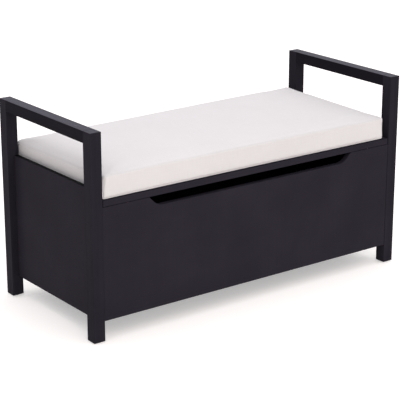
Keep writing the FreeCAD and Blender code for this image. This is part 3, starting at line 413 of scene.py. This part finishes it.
def bare_wood(name, base, along, rings=1500.0, relief=0.00005):
    material, nodes, shader, turned = start_material(name, {"Specular IOR Level": 0.3}, along)
    given = place(nodes, grain_group(), {
        "Vector": turned, "Light": solid(base, 1.15), "Dark": solid(base, 0.62),
        "Rings": rings, "Relief": relief,
    })
    finish_material(nodes, shader, given["Color"], given["Roughness"], given["Height"])
    return material


def metal(name, base, along="z", brushed=1.0, relief=0.000006):
    material, nodes, shader, turned = start_material(name, {"Metallic": 1.0}, along)
    given = place(nodes, metal_group(), {
        "Vector": turned, "Light": solid(base, 1.08), "Dark": solid(base, 0.82),
        "Brushed": brushed, "Relief": relief,
    })
    finish_material(nodes, shader, given["Color"], given["Roughness"], given["Height"])
    return material


def moulded(name, base, grit=1400.0, relief=0.00002, uniform=None):
    material, nodes, shader, turned = start_material(name, uniform or {})
    given = place(nodes, moulded_group(), {
        "Vector": turned, "Light": solid(base, 1.2), "Dark": solid(base, 0.8),
        "Grit Scale": grit, "Relief": relief,
    })
    finish_material(nodes, shader, given["Color"], given["Roughness"], given["Height"])
    return material


def woven(name, light, shade, pitch, relief, uniform):
    """Cloth whose threads follow the piece's own cut pattern, with sewn seams that pucker it and painted shade
    that darkens their valleys.
    """
    material, nodes, shader, turned = start_material(name, uniform)
    pattern = nodes.add("ShaderNodeUVMap", uv_map="cut")
    given = place(nodes, weave_group(), {"Vector": pattern, "Pitch": pitch, "Relief": relief})
    seam = nodes.add("ShaderNodeAttribute", output=2, attribute_name="seam")
    cloud = nodes.noise(turned, 9.0, 3.0)
    patches = nodes.span(cloud, 0.3, 0.7, 0.0, 0.2)
    share = nodes.math("ADD", nodes.math("MULTIPLY", given["Threads"], 0.8), patches)
    tint = nodes.blend(share, solid(shade), solid(light))
    # Along the seams the cloth is darkened towards a deeper grey: painted shade in the seam valleys.
    sewn = nodes.blend(nodes.math("MULTIPLY", seam, 0.10), tint, solid(shade, 0.72))
    rough = nodes.span(given["Threads"], 0.0, 1.0, 0.92, 0.80)
    pucker = nodes.math("MULTIPLY", nodes.noise(turned, 260.0, 2.0), nodes.math("MULTIPLY", seam, 0.0004))
    finish_material(nodes, shader, sewn, rough, nodes.math("ADD", given["Height"], pucker))
    return material


def pile(name, base):
    """Black hook tape: a dense field of tiny hooks."""
    material, nodes, shader, turned = start_material(name, {"Sheen Weight": 0.25, "Sheen Roughness": 0.6})
    spots = nodes.add("ShaderNodeTexVoronoi", {"Vector": turned, "Scale": 900.0})
    dots = nodes.span(spots, 0.0, 0.6, 1.0, 0.0)
    tint = nodes.blend(dots, solid(base, 0.5), solid(base, 2.2))
    rough = nodes.span(dots, 0, 1, 0.9, 0.7)
    finish_material(nodes, shader, tint, rough, nodes.math("MULTIPLY", dots, 0.2 * MM))
    return material


# ---- Pieces ----

def add_piece(name, mesh, material, body, stands_for=()):
    """A finished piece at the origin, which rides on its body and stands for the named CAD nodes."""
    piece = bpy.data.objects.new(name, mesh)
    bpy.context.scene.collection.objects.link(piece)
    if material is not None:
        mesh.materials.clear()
        mesh.materials.append(material)
    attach(piece, body)
    if stands_for:
        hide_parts(*stands_for)
    return piece


def evaluated_mesh(thing, name):
    """The object's mesh with its modifiers applied; the object is removed."""
    graph = bpy.context.evaluated_depsgraph_get()
    graph.update()
    mesh = bpy.data.meshes.new_from_object(
        thing.evaluated_get(graph), preserve_all_data_layers=True, depsgraph=graph,
    )
    mesh.name = name
    old = thing.data
    bpy.data.objects.remove(thing)
    bpy.data.meshes.remove(old)
    return mesh


def working_object(name, mesh):
    thing = bpy.data.objects.new(name, mesh)
    bpy.context.scene.collection.objects.link(thing)
    return thing


def outline_planes(point, low, high):
    """Which of the box's six faces the point lies on."""
    return {
        (axis, end) for axis in range(3) for end, corner in (("low", low), ("high", high))
        if abs(point[axis] - corner[axis]) < ON_PLANE
    }


def eased_board(node, ease, steps, material, top=None, dipped=False):
    """The node's board with its long edges eased. The face attribute arris marks the eased strip, which the
    lacquer paints lighter: partly edge wear, partly a painted highlight.

    Where a top material is given, the board's flat top takes it. A dipped board's finger dip is eased too.
    """
    low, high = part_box(node)
    work = bmesh.new()
    work.from_mesh(frame["nodes"][node].data)
    bmesh.ops.remove_doubles(work, verts=work.verts, dist=1e-6)
    bmesh.ops.dissolve_limit(work, angle_limit=radians(0.6), verts=work.verts, edges=work.edges)
    arris = work.faces.layers.float.new("arris")

    def is_outline(edge):
        if len(edge.link_faces) != 2 or edge.calc_face_angle(0) < radians(20):
            return False
        ends = [vert.co for vert in edge.verts]
        if len(outline_planes(ends[0], low, high) & outline_planes(ends[1], low, high)) >= 2:
            return True
        return dipped and abs(ends[0].y - ends[1].y) < ON_PLANE and all(
            abs(end.x) < DIP_HALF_LENGTH and end.z > DIP_BOTTOM
            and min(abs(end.y - low.y), abs(end.y - high.y)) < ON_PLANE
            for end in ends
        )

    rims = [edge for edge in work.edges if is_outline(edge)]
    made = bmesh.ops.bevel(
        work, geom=rims, offset=ease, offset_type="OFFSET", segments=steps, profile=0.5, affect="EDGES",
        clamp_overlap=True,
    )
    for face in made["faces"]:
        face[arris] = 1.0
    work.normal_update()
    for face in work.faces:
        face.smooth = True
        is_flat_top = face.normal.z > 0.99 and face.calc_center_median().z > high.z - MM
        face.material_index = int(top is not None and is_flat_top)
    for edge in work.edges:
        edge.smooth = edge.calc_face_angle(0) < radians(35)
    mesh = bpy.data.meshes.new(node)
    for each in (material, top) if top else (material,):
        mesh.materials.append(each)
    work.to_mesh(mesh)
    work.free()
    thing = working_object(f"{node}_work", mesh)
    weighted = thing.modifiers.new("Flat faces", "WEIGHTED_NORMAL")
    weighted.keep_sharp = True
    finished = evaluated_mesh(thing, node)
    return add_piece(f"{node}_eased", finished, None, NODE_BODY[node], [node])


# ---- The cushion ----

SEAM_GAPS = [0.0, 1.6 * MM, 3.4 * MM, 6.2 * MM]
PATTERN_APART = (0.31, 0.27)


def lattice_lines(half, cell):
    """Places along one side of the block, closer together by the seams at its ends."""
    inner = half - SEAM_GAPS[-1]
    count = max(2, round(2 * inner / cell))
    middle = [-inner + 2 * inner * step / count for step in range(1, count)]
    ends = [-half + gap for gap in SEAM_GAPS]
    return ends + middle + [-end for end in reversed(ends)]


def block_lattice(half, cell):
    """Points, quads, each quad's cut pattern and each point's distance to the nearest sewn seam."""
    lines = [lattice_lines(size, cell) for size in half]
    last = [len(line) - 1 for line in lines]
    index, points, quads, pattern = {}, [], [], []

    def point(key):
        if key not in index:
            index[key] = len(points)
            points.append([lines[axis][key[axis]] for axis in range(3)])
        return index[key]

    for axis in range(3):
        u, v = [other for other in range(3) if other != axis]
        for end in (0, last[axis]):
            for i in range(last[u]):
                for j in range(last[v]):
                    corners = []
                    for di, dj in ((0, 0), (1, 0), (1, 1), (0, 1)):
                        key = [0, 0, 0]
                        key[axis], key[u], key[v] = end, i + di, j + dj
                        corners.append(tuple(key))
                    outward = (end > 0) == (axis != 1)
                    if not outward:
                        corners.reverse()
                    quads.append([point(key) for key in corners])
                    aside, above = PATTERN_APART[0] * axis, PATTERN_APART[1] * (end > 0)
                    pattern.append([(lines[u][key[u]] + aside, lines[v][key[v]] + above) for key in corners])
    return np.array(points), quads, pattern


def seam_gap(points, half):
    """How far each point of the block lies, over the surface, from the border seams and back corner seams."""
    gaps = half - np.abs(points)
    border = np.maximum(gaps[:, 2], np.minimum(gaps[:, 0], gaps[:, 1]))
    back_corner = np.maximum(gaps[:, 0], np.where(points[:, 1] > 0, gaps[:, 1], 1.0))
    return np.minimum(border, back_corner)


def smooth_step(value):
    t = np.clip(value, 0, 1)
    return t * t * (3 - 2 * t)


def rolled(points, half, corner, edge, rise):
    """Rounds the block: edges roll over by edge across and rise up, and corners by corner seen from above."""
    reach = np.stack([np.full(len(points), edge), np.full(len(points), edge), rise], axis=1)
    core = half - reach
    part = np.clip((np.abs(points) - core) / reach, 0, 1)
    u2, v2, w2 = (part ** 2).T
    spread = np.stack([
        np.sqrt(1 - v2 / 2 - w2 / 2 + v2 * w2 / 3),
        np.sqrt(1 - u2 / 2 - w2 / 2 + u2 * w2 / 3),
        np.sqrt(1 - u2 / 2 - v2 / 2 + u2 * v2 / 3),
    ], axis=1)
    moved = np.where(np.abs(points) > core, np.sign(points) * (core + reach * part * spread), points)
    flat = np.abs(moved[:, :2])
    core = half[:2] - corner
    part = np.clip((flat - core) / corner, 0, 1)
    share = np.sqrt(1 - part[:, ::-1] ** 2 / 2)
    both = (part > 0).all(axis=1)[:, None]
    moved[:, :2] = np.where(both, np.sign(moved[:, :2]) * (core + corner * part * share), moved[:, :2])
    return moved


def filled(thing, settings, half):
    """The block's points after the filling has pushed the cloth out."""
    rest = np.array([vert.co for vert in thing.data.vertices])
    held = thing.vertex_groups.new(name="held")
    low = [number for number, co in enumerate(rest) if co[2] < rest[:, 2].min() + 0.4 * MM]
    held.add(low, 1.0, "REPLACE")
    cloth = thing.modifiers.new("Filling", "CLOTH")
    sim = cloth.settings
    sim.quality = 5
    sim.mass = 0.25
    sim.tension_stiffness = sim.compression_stiffness = 18
    sim.shear_stiffness = 8
    sim.bending_stiffness = 0.6
    sim.use_pressure = True
    sim.uniform_pressure_force = settings.pressure
    sim.effector_weights.gravity = 0
    sim.vertex_group_mass = held.name
    sim.pin_stiffness = 1
    cloth.collision_settings.use_collision = False
    cloth.point_cache.frame_start = 1
    cloth.point_cache.frame_end = settings.frames
    scene = bpy.context.scene
    for step in range(1, settings.frames + 1):
        scene.frame_set(step)
    graph = bpy.context.evaluated_depsgraph_get()
    swollen = np.array([vert.co for vert in thing.evaluated_get(graph).data.vertices])
    scene.frame_set(1)
    thing.modifiers.remove(cloth)
    push = swollen - rest
    size = np.linalg.norm(push, axis=1, keepdims=True)
    limit = settings.swell
    return rest + push * limit * np.tanh(size / limit) / np.maximum(size, 1e-9)


def fitted(points, low, high):
    """Stretches the points so that they span the CAD cushion's length and depth."""
    least, most = points[:, :2].min(axis=0), points[:, :2].max(axis=0)
    share = (points[:, :2] - least) / (most - least)
    points[:, :2] = np.array(low[:2]) + share * (np.array(high[:2]) - np.array(low[:2]))
    return points


CROWN, BACK_RIGHT_LIFT, BACK_LEFT_SINK = 1.5, 7.0, 2.0
WRINKLE = 0.55
STUFFED = 2.2 * MM
FRONT_DROOP = 0.42


def crowned(points, low, high, settings):
    """Sets the top to its crown: highest by the back right, with soft hollows, and the underside flat."""
    share = (points - np.array(low)) / (np.array(high) - np.array(low))
    s, t = np.clip(share[:, 0], 0, 1), np.clip(share[:, 1], 0, 1)
    dome = np.sin(pi * s) ** 0.6 * np.sin(pi * t) ** 0.6
    raised = BACK_RIGHT_LIFT * smooth_step(s) * smooth_step(t)
    lift = CROWN * dome + raised - BACK_LEFT_SINK * smooth_step(1 - s) * smooth_step(t)
    base = points[:, 2].min()
    tall = points[:, 2].max() - base
    level = (points[:, 2] - base) / tall
    wrinkle = np.array([
        noise.noise(Vector((x * 6.0, y * 26.0, 3.1))) + 0.45 * noise.noise(Vector((x * 21.0, y * 9.0, 8.4)))
        for x, y, _ in points
    ])
    target = high[2] - low[2] + STUFFED
    near_end = np.clip(1 - (points[:, 0] - low[0]) / settings.droop_reach, 0, 1) ** 2
    sink = settings.droop * near_end * (FRONT_DROOP + (1 - FRONT_DROOP) * t)
    points[:, 2] = low[2] + level * (target - sink) + MM * level ** 1.5 * (lift + WRINKLE * wrinkle)
    return points


RIGHT_END_START = 0.90
TOP_RISE, UNDER_RISE, RIGHT_TOP_LESS, RIGHT_UNDER_MORE = 7, 9, 2, 4
END_PULL_IN = 0.6


def cushion_mesh(settings):
    """The seat cushion: a block rolled at its edges, filled, crowned and sewn."""
    low, high = CUSHION_LOW, CUSHION_HIGH
    half = (np.array(high) - np.array(low)) / 2 - settings.slack * np.array([1, 1, 0.5])
    points, quads, pattern = block_lattice(half, settings.cell)
    gap = seam_gap(points, half)
    right = smooth_step((points[:, 0] / half[0] - RIGHT_END_START) / (1 - RIGHT_END_START))
    top_rise, under_rise = TOP_RISE - RIGHT_TOP_LESS * right, UNDER_RISE + RIGHT_UNDER_MORE * right
    rise = np.where(points[:, 2] > 0, top_rise, under_rise) * MM
    shaped = rolled(points, half, settings.corner, settings.edge, rise)
    waist = settings.pull_in * (1 - (shaped[:, 0] / half[0]) ** 2)
    shaped[:, 1] -= waist * shaped[:, 1] / half[1]
    end_waist = END_PULL_IN * settings.pull_in * (1 - (shaped[:, 1] / half[1]) ** 2)
    shaped[:, 0] -= end_waist * shaped[:, 0] / half[0]

    mesh = bpy.data.meshes.new("cushion_work")
    mesh.from_pydata(shaped.tolist(), [], quads)
    cut = mesh.uv_layers.new(name="cut")
    cut.data.foreach_set("uv", np.array(pattern).reshape(-1))
    mesh.attributes.new("seam", "FLOAT", "POINT").data.foreach_set("value", gap.astype(np.float32))
    thing = working_object("cushion_work", mesh)
    shaped = filled(thing, settings, half)
    shaped = crowned(fitted(shaped, low, high), low, high, settings)
    mesh.vertices.foreach_set("co", shaped.astype(np.float32).ravel())
    mesh.update()
    mesh.shade_smooth()
    smooth = thing.modifiers.new("Smooth", "SUBSURF")
    smooth.levels = smooth.render_levels = 1
    return sewn(evaluated_mesh(thing, "seat_cushion"), settings)


def sewn(mesh, settings):
    """Presses the seams' valleys into the cloth and turns the seam attribute from a gap into a mask."""
    count = len(mesh.vertices)
    co, normal, gap = np.zeros(count * 3), np.zeros(count * 3), np.zeros(count, np.float32)
    mesh.vertices.foreach_get("co", co)
    mesh.vertices.foreach_get("normal", normal)
    mesh.attributes["seam"].data.foreach_get("value", gap)
    mask = np.exp(-(gap / settings.seam_width) ** 2)
    moved = co.reshape(-1, 3) - normal.reshape(-1, 3) * (mask * settings.seam_depth)[:, None]
    moved[:, 2] = np.maximum(moved[:, 2], CUSHION_LOW.z)
    mesh.vertices.foreach_set("co", moved.ravel())
    mesh.attributes["seam"].data.foreach_set("value", mask.astype(np.float32))
    mesh.update()
    return mesh


# ---- Rows of stitches and zip teeth ----

def row_tree():
    """Geometry Nodes: rods set along a path at an even pitch, along it or across it."""
    tree = bpy.data.node_groups.get("Row of rods")
    if tree is not None:
        return tree
    tree = bpy.data.node_groups.new("Row of rods", "GeometryNodeTree")
    tree.interface.new_socket("Path", in_out="INPUT", socket_type="NodeSocketGeometry")
    for label, default in (("Pitch", 0.003), ("Length", 0.0025), ("Radius", 0.0003), ("Tilt", 0.0)):
        tree.interface.new_socket(label, in_out="INPUT", socket_type=VALUE).default_value = default
    tree.interface.new_socket("Material", in_out="INPUT", socket_type="NodeSocketMaterial")
    tree.interface.new_socket("Row", in_out="OUTPUT", socket_type="NodeSocketGeometry")
    nodes = Nodes(tree)
    given = tree.nodes.new("NodeGroupInput").outputs
    curve = nodes.add("GeometryNodeMeshToCurve", {0: given["Path"]})
    spots = tree.nodes.new("GeometryNodeCurveToPoints")
    spots.mode = "LENGTH"
    nodes.join(spots.inputs["Curve"], curve)
    nodes.join(spots.inputs["Length"], given["Pitch"])
    belly = nodes.add("GeometryNodeMeshCylinder", {
        "Vertices": 6, "Side Segments": 3, "Fill Segments": 1,
        "Radius": given["Radius"], "Depth": given["Length"],
    })
    position = tree.nodes.new("ShaderNodeSeparateXYZ")
    nodes.join(position.inputs[0], nodes.add("GeometryNodeInputPosition"))
    along = nodes.math("DIVIDE", nodes.math("MULTIPLY", position.outputs[2], 2.0), given["Length"])
    narrowing = nodes.math("MULTIPLY", nodes.math("POWER", nodes.math("ABSOLUTE", along), 3.0), 0.55)
    taper = nodes.math("SUBTRACT", 1.0, narrowing)
    shrunk = nodes.vector("MULTIPLY", nodes.add("GeometryNodeInputPosition"), nodes.add(
        "ShaderNodeCombineXYZ", {0: taper, 1: taper, 2: 1.0}))
    rod = nodes.add("GeometryNodeSetPosition", {"Geometry": belly, "Position": shrunk})
    turn = nodes.add("FunctionNodeAlignRotationToVector", {"Vector": spots.outputs["Tangent"]}, axis="Z")
    tilt = nodes.add("ShaderNodeCombineXYZ", {0: 0.0, 1: given["Tilt"], 2: 0.0})
    leaning = nodes.add("FunctionNodeRotateRotation", {0: turn, 1: nodes.add(
        "FunctionNodeEulerToRotation", {0: tilt})}, rotation_space="LOCAL")
    rods = nodes.add("GeometryNodeInstanceOnPoints", {
        "Points": spots.outputs["Points"], "Instance": rod, "Rotation": leaning,
    })
    real = nodes.add("GeometryNodeRealizeInstances", {0: rods})
    smooth = nodes.add("GeometryNodeSetShadeSmooth", {0: real})
    painted = nodes.add("GeometryNodeSetMaterial", {"Geometry": smooth, "Material": given["Material"]})
    nodes.join(tree.nodes.new("NodeGroupOutput").inputs[0], painted)
    return tree


def row_of_rods(name, paths, values, material, body):
    """A piece made of even rods along each path."""
    points, edges = [], []
    for path in paths:
        edges += [(len(points) + step, len(points) + step + 1) for step in range(len(path) - 1)]
        points += [tuple(spot) for spot in path]
    mesh = bpy.data.meshes.new(f"{name}_path")
    mesh.from_pydata(points, edges, [])
    thing = working_object(f"{name}_work", mesh)
    row = thing.modifiers.new("Row", "NODES")
    tree = row_tree()
    row.node_group = tree
    sockets = {item.name: item.identifier for item in tree.interface.items_tree if item.in_out == "INPUT"}
    for label, value in values.items():
        row[sockets[label]] = value
    row[sockets["Material"]] = material
    return add_piece(name, evaluated_mesh(thing, name), None, body)


def strip_mesh(name, spots, width, thick, up):
    """A flat band of even width and thickness along the spots, pressed on the surface behind it."""
    work = bmesh.new()
    rows = []
    out = Vector((0, 1, 0))
    for spot in spots:
        rim = []
        for across, lift in ((-0.5, 0), (-0.47, 1), (0.47, 1), (0.5, 0), (0.45, -1), (-0.45, -1)):
            rim.append(work.verts.new(Vector(spot) + up * width * across + out * thick * lift))
        rows.append(rim)
    for one, two in zip(rows, rows[1:]):
        for side in range(6):
            work.faces.new((one[side], two[side], two[(side + 1) % 6], one[(side + 1) % 6]))
    work.faces.new(rows[0])
    work.faces.new(reversed(rows[-1]))
    bmesh.ops.recalc_face_normals(work, faces=work.faces)
    cut = work.loops.layers.uv.new("cut")
    for face in work.faces:
        for loop in face.loops:
            loop[cut].uv = (loop.vert.co.x, loop.vert.co.z)
    mesh = bpy.data.meshes.new(name)
    work.to_mesh(mesh)
    work.free()
    return mesh


def rounded_block(work, centre, size, ease):
    """Adds an eased block to the mesh."""
    made = bmesh.ops.create_cube(work, size=1.0)["verts"]
    for vert in made:
        vert.co = Vector(centre) + Vector(a * b for a, b in zip(vert.co, size))
    edges = list({edge for vert in made for edge in vert.link_edges})
    bmesh.ops.bevel(work, geom=edges, offset=ease, segments=2, profile=0.5, affect="EDGES")


# ---- Operators ----

class BENCH_OT_boards(bpy.types.Operator):
    """Make the lacquered posts, rails and boards, and the battens, with eased edges"""

    bl_idname = "bench.boards"
    bl_label = "Make Boards"

    def execute(self, context):
        settings = context.scene.bench_frame
        grain, fine_peel, peel = 0.012 * MM, 0.008 * MM, 0.012 * MM
        upright = lacquer("Lacquered upright", settings.lacquer, "z", 1.0, grain, fine_peel, 0.006)
        # The rails' lacquer is darker than the posts': painted shade for the darker rail sides.
        crosswise = lacquer("Lacquered rail, painted shade", settings.shaded_rail_lacquer, "y", 1.0, grain, fine_peel, 0.006)
        # The posts' and rails' flat tops take a lighter, glossier lacquer: a painted sky reflection on the tops.
        highlit = lacquer("Top lacquer with painted sky reflection", settings.lit_top_lacquer, "y", 1.0, grain, fine_peel / 2, 0.02)
        board = lacquer("Lacquered board", settings.board_lacquer, "z", 0.12, 0.0, peel, 0.005)
        laminate = moulded(
            "Laminated floor board", settings.floor_board, 2200.0, 0.012 * MM, {"Specular IOR Level": 0.3},
        )
        steps = settings.ease_steps
        for node in POSTS:
            eased_board(node, settings.post_ease, steps, upright, highlit)
        for node in RAILS:
            eased_board(node, settings.post_ease, steps, crosswise, highlit)
        # The side panels' flat tops take a dull, near-black colour: painted shade for the dark band under the
        # cushion's edge.
        shaded_top = moulded(
            "Side panel top, painted shade", settings.shaded_top_edge, 1800.0, 0.02 * MM, {"Specular IOR Level": 0.02},
        )
        for node in WIDE_PANELS:
            eased_board(node, settings.board_ease, steps, board, dipped=node == "front_panel")
        for node in SIDE_PANELS:
            eased_board(node, settings.board_ease, steps, board, shaded_top)
        eased_board("bottom_panel", settings.board_ease / 2, 1, laminate)
        stained = {way: bare_wood(f"Stained batten along {way}", settings.batten, way, 900.0) for way in "xy"}
        for node, way in BATTENS.items():
            eased_board(node, settings.batten_ease, 2, stained[way])
        return {"FINISHED"}


class BENCH_OT_cushion(bpy.types.Operator):
    """Make the seat cushion: a sewn cover that its filling swells, resting on the lid"""

    bl_idname = "bench.cushion"
    bl_label = "Make Cushion"

    def execute(self, context):
        settings = context.scene.bench_cushion
        cloth = woven(
            "Off-white plain weave", settings.cloth, settings.cloth_shade, 0.75 * MM, 0.05 * MM,
            {"Sheen Weight": 0.18, "Sheen Roughness": 0.5, "Specular IOR Level": 0.2},
        )
        cushion = add_piece(
            "seat_cushion", cushion_mesh(settings), cloth, "cushion",
            ["cushion_cover", "cushion_foam"],
        )
        return {"FINISHED"}


class BENCH_OT_zip(bpy.types.Operator):
    """Make the zip along the cushion's back: tape, coil, slider and its rows of stitches"""

    bl_idname = "bench.zip"
    bl_label = "Make Zip"

    def execute(self, context):
        settings = context.scene.bench_cushion
        cushion = bpy.data.objects["seat_cushion"]
        surface = BVHTree.FromObject(cushion, context.evaluated_depsgraph_get())
        centre_x = (CUSHION_LOW.x + CUSHION_HIGH.x) / 2
        level = (CUSHION_LOW.z + CUSHION_HIGH.z) / 2

        def behind(x, z, proud):
            hit = surface.ray_cast(Vector((x, 0.4, z)), Vector((0, -1, 0)))[0]
            if hit is None:
                raise RuntimeError("the zip has left the cushion's back")
            return Vector((x, hit.y + proud, z))

        def path(z, proud, reach=1.0):
            steps = 80
            half = settings.zip_length / 2 * reach
            return [behind(centre_x - half + 2 * half * step / steps, z, proud) for step in range(steps + 1)]

        up = Vector((0, 0, 1))
        tape = woven(
            "Zip tape", settings.zip_tape, settings.cloth_shade, 0.5 * MM, 0.03 * MM,
            {"Specular IOR Level": 0.25},
        )
        coil = moulded("Zip coil", settings.zip_tape, 3000.0, 0.00001)
        thread = moulded("Sewing thread", settings.cloth, 4200.0, 0.00002)
        pull = metal("Zip slider", (0.5, 0.5, 0.5))
        add_piece(
            "zip_tape", strip_mesh("zip_tape", path(level, 0.35 * MM), 15 * MM, 0.4 * MM, up), tape,
            "cushion",
        )
        row_of_rods("zip_coil", [path(level, 1.1 * MM, 0.985)], {
            "Pitch": settings.tooth_pitch, "Length": 4.2 * MM, "Radius": 0.5 * MM, "Tilt": pi / 2,
        }, coil, "cushion")
        rows = [path(level + side * 6 * MM, 0.9 * MM, 0.995) for side in (-1, 1)]
        row_of_rods("zip_stitches", rows, {
            "Pitch": settings.stitch * 1.25, "Length": settings.stitch, "Radius": settings.thread,
            "Tilt": 0.0,
        }, thread, "cushion")
        spot = behind(centre_x - settings.zip_length / 2 * 0.94, level, 1.2 * MM)
        work = bmesh.new()
        for place_at, size, ease in (
            ((0, 0.9, 0), (9, 2.6, 7), 1.0),
            ((-1.5, 2.6, -0.2), (4.5, 1.2, 2.2), 0.4),
            ((-1.5, 2.3, -9.5), (5, 1.0, 17), 0.45),
        ):
            rounded_block(work, spot + Vector(place_at) * MM, Vector(size) * MM, ease * MM)
        mesh = bpy.data.meshes.new("zip_slider")
        work.to_mesh(mesh)
        work.free()
        mesh.shade_smooth()
        add_piece("zip_slider", mesh, pull, "cushion")
        return {"FINISHED"}


class BENCH_OT_hardware(bpy.types.Operator):
    """Give the hinges, stays, screws, cams, dowels, glides, bumpers and tapes their finishes"""

    bl_idname = "bench.hardware"
    bl_label = "Finish Hardware"

    def execute(self, context):
        settings = context.scene.bench_hardware
        finishes = {
            "beech_dowel": bare_wood("Beech dowel", settings.beech, "y", 2600.0, 0.00003),
            "hinge_steel": metal("Nickel-plated hinge", settings.nickel, "x"),
            "stay_steel": metal("Zinc-plated stay", settings.zinc, "y", 1.0, 0.000008),
            "zinc_steel": metal("Zinc-plated screw", settings.zinc, "z", 0.4, 0.000006),
            "cam_zinc": metal("Cast zinc cam", settings.cast_zinc, "z", 0.0, 0.000016),
            "black_plastic": moulded("Moulded glide", settings.plastic),
            "clear_rubber": moulded("Rubber bumper", settings.rubber, 900.0, 0.00001, {
                "Subsurface Weight": 0.4, "Subsurface Scale": 0.002}),
            "hook_and_loop": pile("Hook and loop tape", settings.plastic),
        }
        for name, node in frame["nodes"].items():
            if node.hide_render:
                continue
            material = finishes[NODE_SLOT[name]]
            for slot in node.material_slots:
                slot.material = material
        return {"FINISHED"}


FLOOR_REACH = 30
SKY_COLOUR = (0.955, 0.955, 1.0, 1.0)
SKY_TURN = (-0.75, 0.1)
SKY_HORIZON, SKY_OVERHEAD = 0.56, 1.54
KEY_COLOUR, KEY_SIZE = (1.0, 0.90, 0.80), 1.6
KEY_PLACE, KEY_AIM = Vector((-0.5, -2.1, 1.9)), Vector((0, 0, 0.2))


class BENCH_OT_stage(bpy.types.Operator):
    """Set up the pale floor, the soft light and the camera"""

    bl_idname = "bench.stage"
    bl_label = "Set Stage"

    def execute(self, context):
        settings = context.scene.bench_stage
        scene = context.scene
        scene.view_settings.view_transform = "Standard"
        mesh = bpy.data.meshes.new("studio_floor")
        corners = [(FLOOR_REACH * x, FLOOR_REACH * y, 0) for x, y in ((-1, -1), (1, -1), (1, 1), (-1, 1))]
        mesh.from_pydata(corners, [], [(0, 1, 2, 3)])
        floor = working_object("studio_floor", mesh)
        material, nodes, shader, turned = start_material("Studio floor", {
            "Specular IOR Level": 0.1, "Emission Color": (1.0, 1.0, 1.0, 1.0),
            "Emission Strength": settings.glow,
        })
        cloud = nodes.noise(turned, 2.0, 3.0)
        tint = nodes.blend(nodes.span(cloud, 0.3, 0.7), solid(settings.floor, 0.995), solid(settings.floor))
        finish_material(nodes, shader, tint, nodes.span(cloud, 0.3, 0.7, 0.75, 0.85))
        mesh.materials.append(material)

        world = bpy.data.worlds.new("Studio")
        scene.world = world
        world.use_nodes = True
        nodes = Nodes(world.node_tree)
        sky = world.node_tree.nodes["Background"]
        way = nodes.tree.nodes.new("ShaderNodeSeparateXYZ")
        nodes.join(way.inputs[0], nodes.add("ShaderNodeTexCoord"))
        high_right = nodes.math("ADD", way.outputs[0], nodes.math("MULTIPLY", way.outputs[2], 0.8))
        side = nodes.span(high_right, *SKY_TURN, settings.sky * settings.shade, settings.sky)
        height = nodes.span(way.outputs[2], 0.0, 1.0, SKY_HORIZON, SKY_OVERHEAD)
        light = nodes.math("MULTIPLY", side, height)
        sky.inputs["Color"].default_value = SKY_COLOUR
        nodes.join(sky.inputs["Strength"], light)

        key = bpy.data.lights.new("Key", "AREA")
        key.energy = settings.key
        key.size = KEY_SIZE
        key.color = KEY_COLOUR
        lamp = working_object("Key", key)
        lamp.location = KEY_PLACE
        lamp.rotation_euler = (KEY_PLACE - KEY_AIM).to_track_quat("Z", "Y").to_euler()

        camera = working_object("Camera", bpy.data.cameras.new("Camera"))
        camera.data.lens = settings.lens
        camera.data.sensor_width = 36
        camera.location = settings.camera_place
        camera.rotation_euler = (settings.camera_pitch, 0, settings.camera_turn)
        scene.camera = camera
        return {"FINISHED"}


class BENCH_PT_panel(bpy.types.Panel):
    """Lists the bench's pieces and settings"""

    bl_label = "Storage Bench"
    bl_idname = "BENCH_PT_panel"
    bl_space_type = "VIEW_3D"
    bl_region_type = "UI"
    bl_category = "Bench"

    def draw(self, context):
        for operator, settings in STEPS:
            box = self.layout.box()
            box.operator(operator.bl_idname)
            if settings:
                group = getattr(context.scene, settings)
                for name in group.__annotations__:
                    box.prop(group, name)


STEPS = (
    (BENCH_OT_boards, "bench_frame"),
    (BENCH_OT_cushion, "bench_cushion"),
    (BENCH_OT_zip, None),
    (BENCH_OT_hardware, "bench_hardware"),
    (BENCH_OT_stage, "bench_stage"),
)
SETTINGS = {
    "bench_frame": BenchFrameSettings,
    "bench_cushion": BenchCushionSettings,
    "bench_hardware": BenchHardwareSettings,
    "bench_stage": BenchStageSettings,
}
CLASSES = (*SETTINGS.values(), *(operator for operator, _ in STEPS), BENCH_PT_panel)


def register():
    for each in CLASSES:
        bpy.utils.register_class(each)
    for name, group in SETTINGS.items():
        setattr(bpy.types.Scene, name, PointerProperty(type=group))


def unregister():
    for name in SETTINGS:
        delattr(bpy.types.Scene, name)
    for each in reversed(CLASSES):
        bpy.utils.unregister_class(each)


def main():
    register()
    bpy.ops.bench.boards()
    bpy.ops.bench.cushion()
    bpy.ops.bench.zip()
    bpy.ops.bench.hardware()
    bpy.ops.bench.stage()


if __name__ == "__main__":
    main()
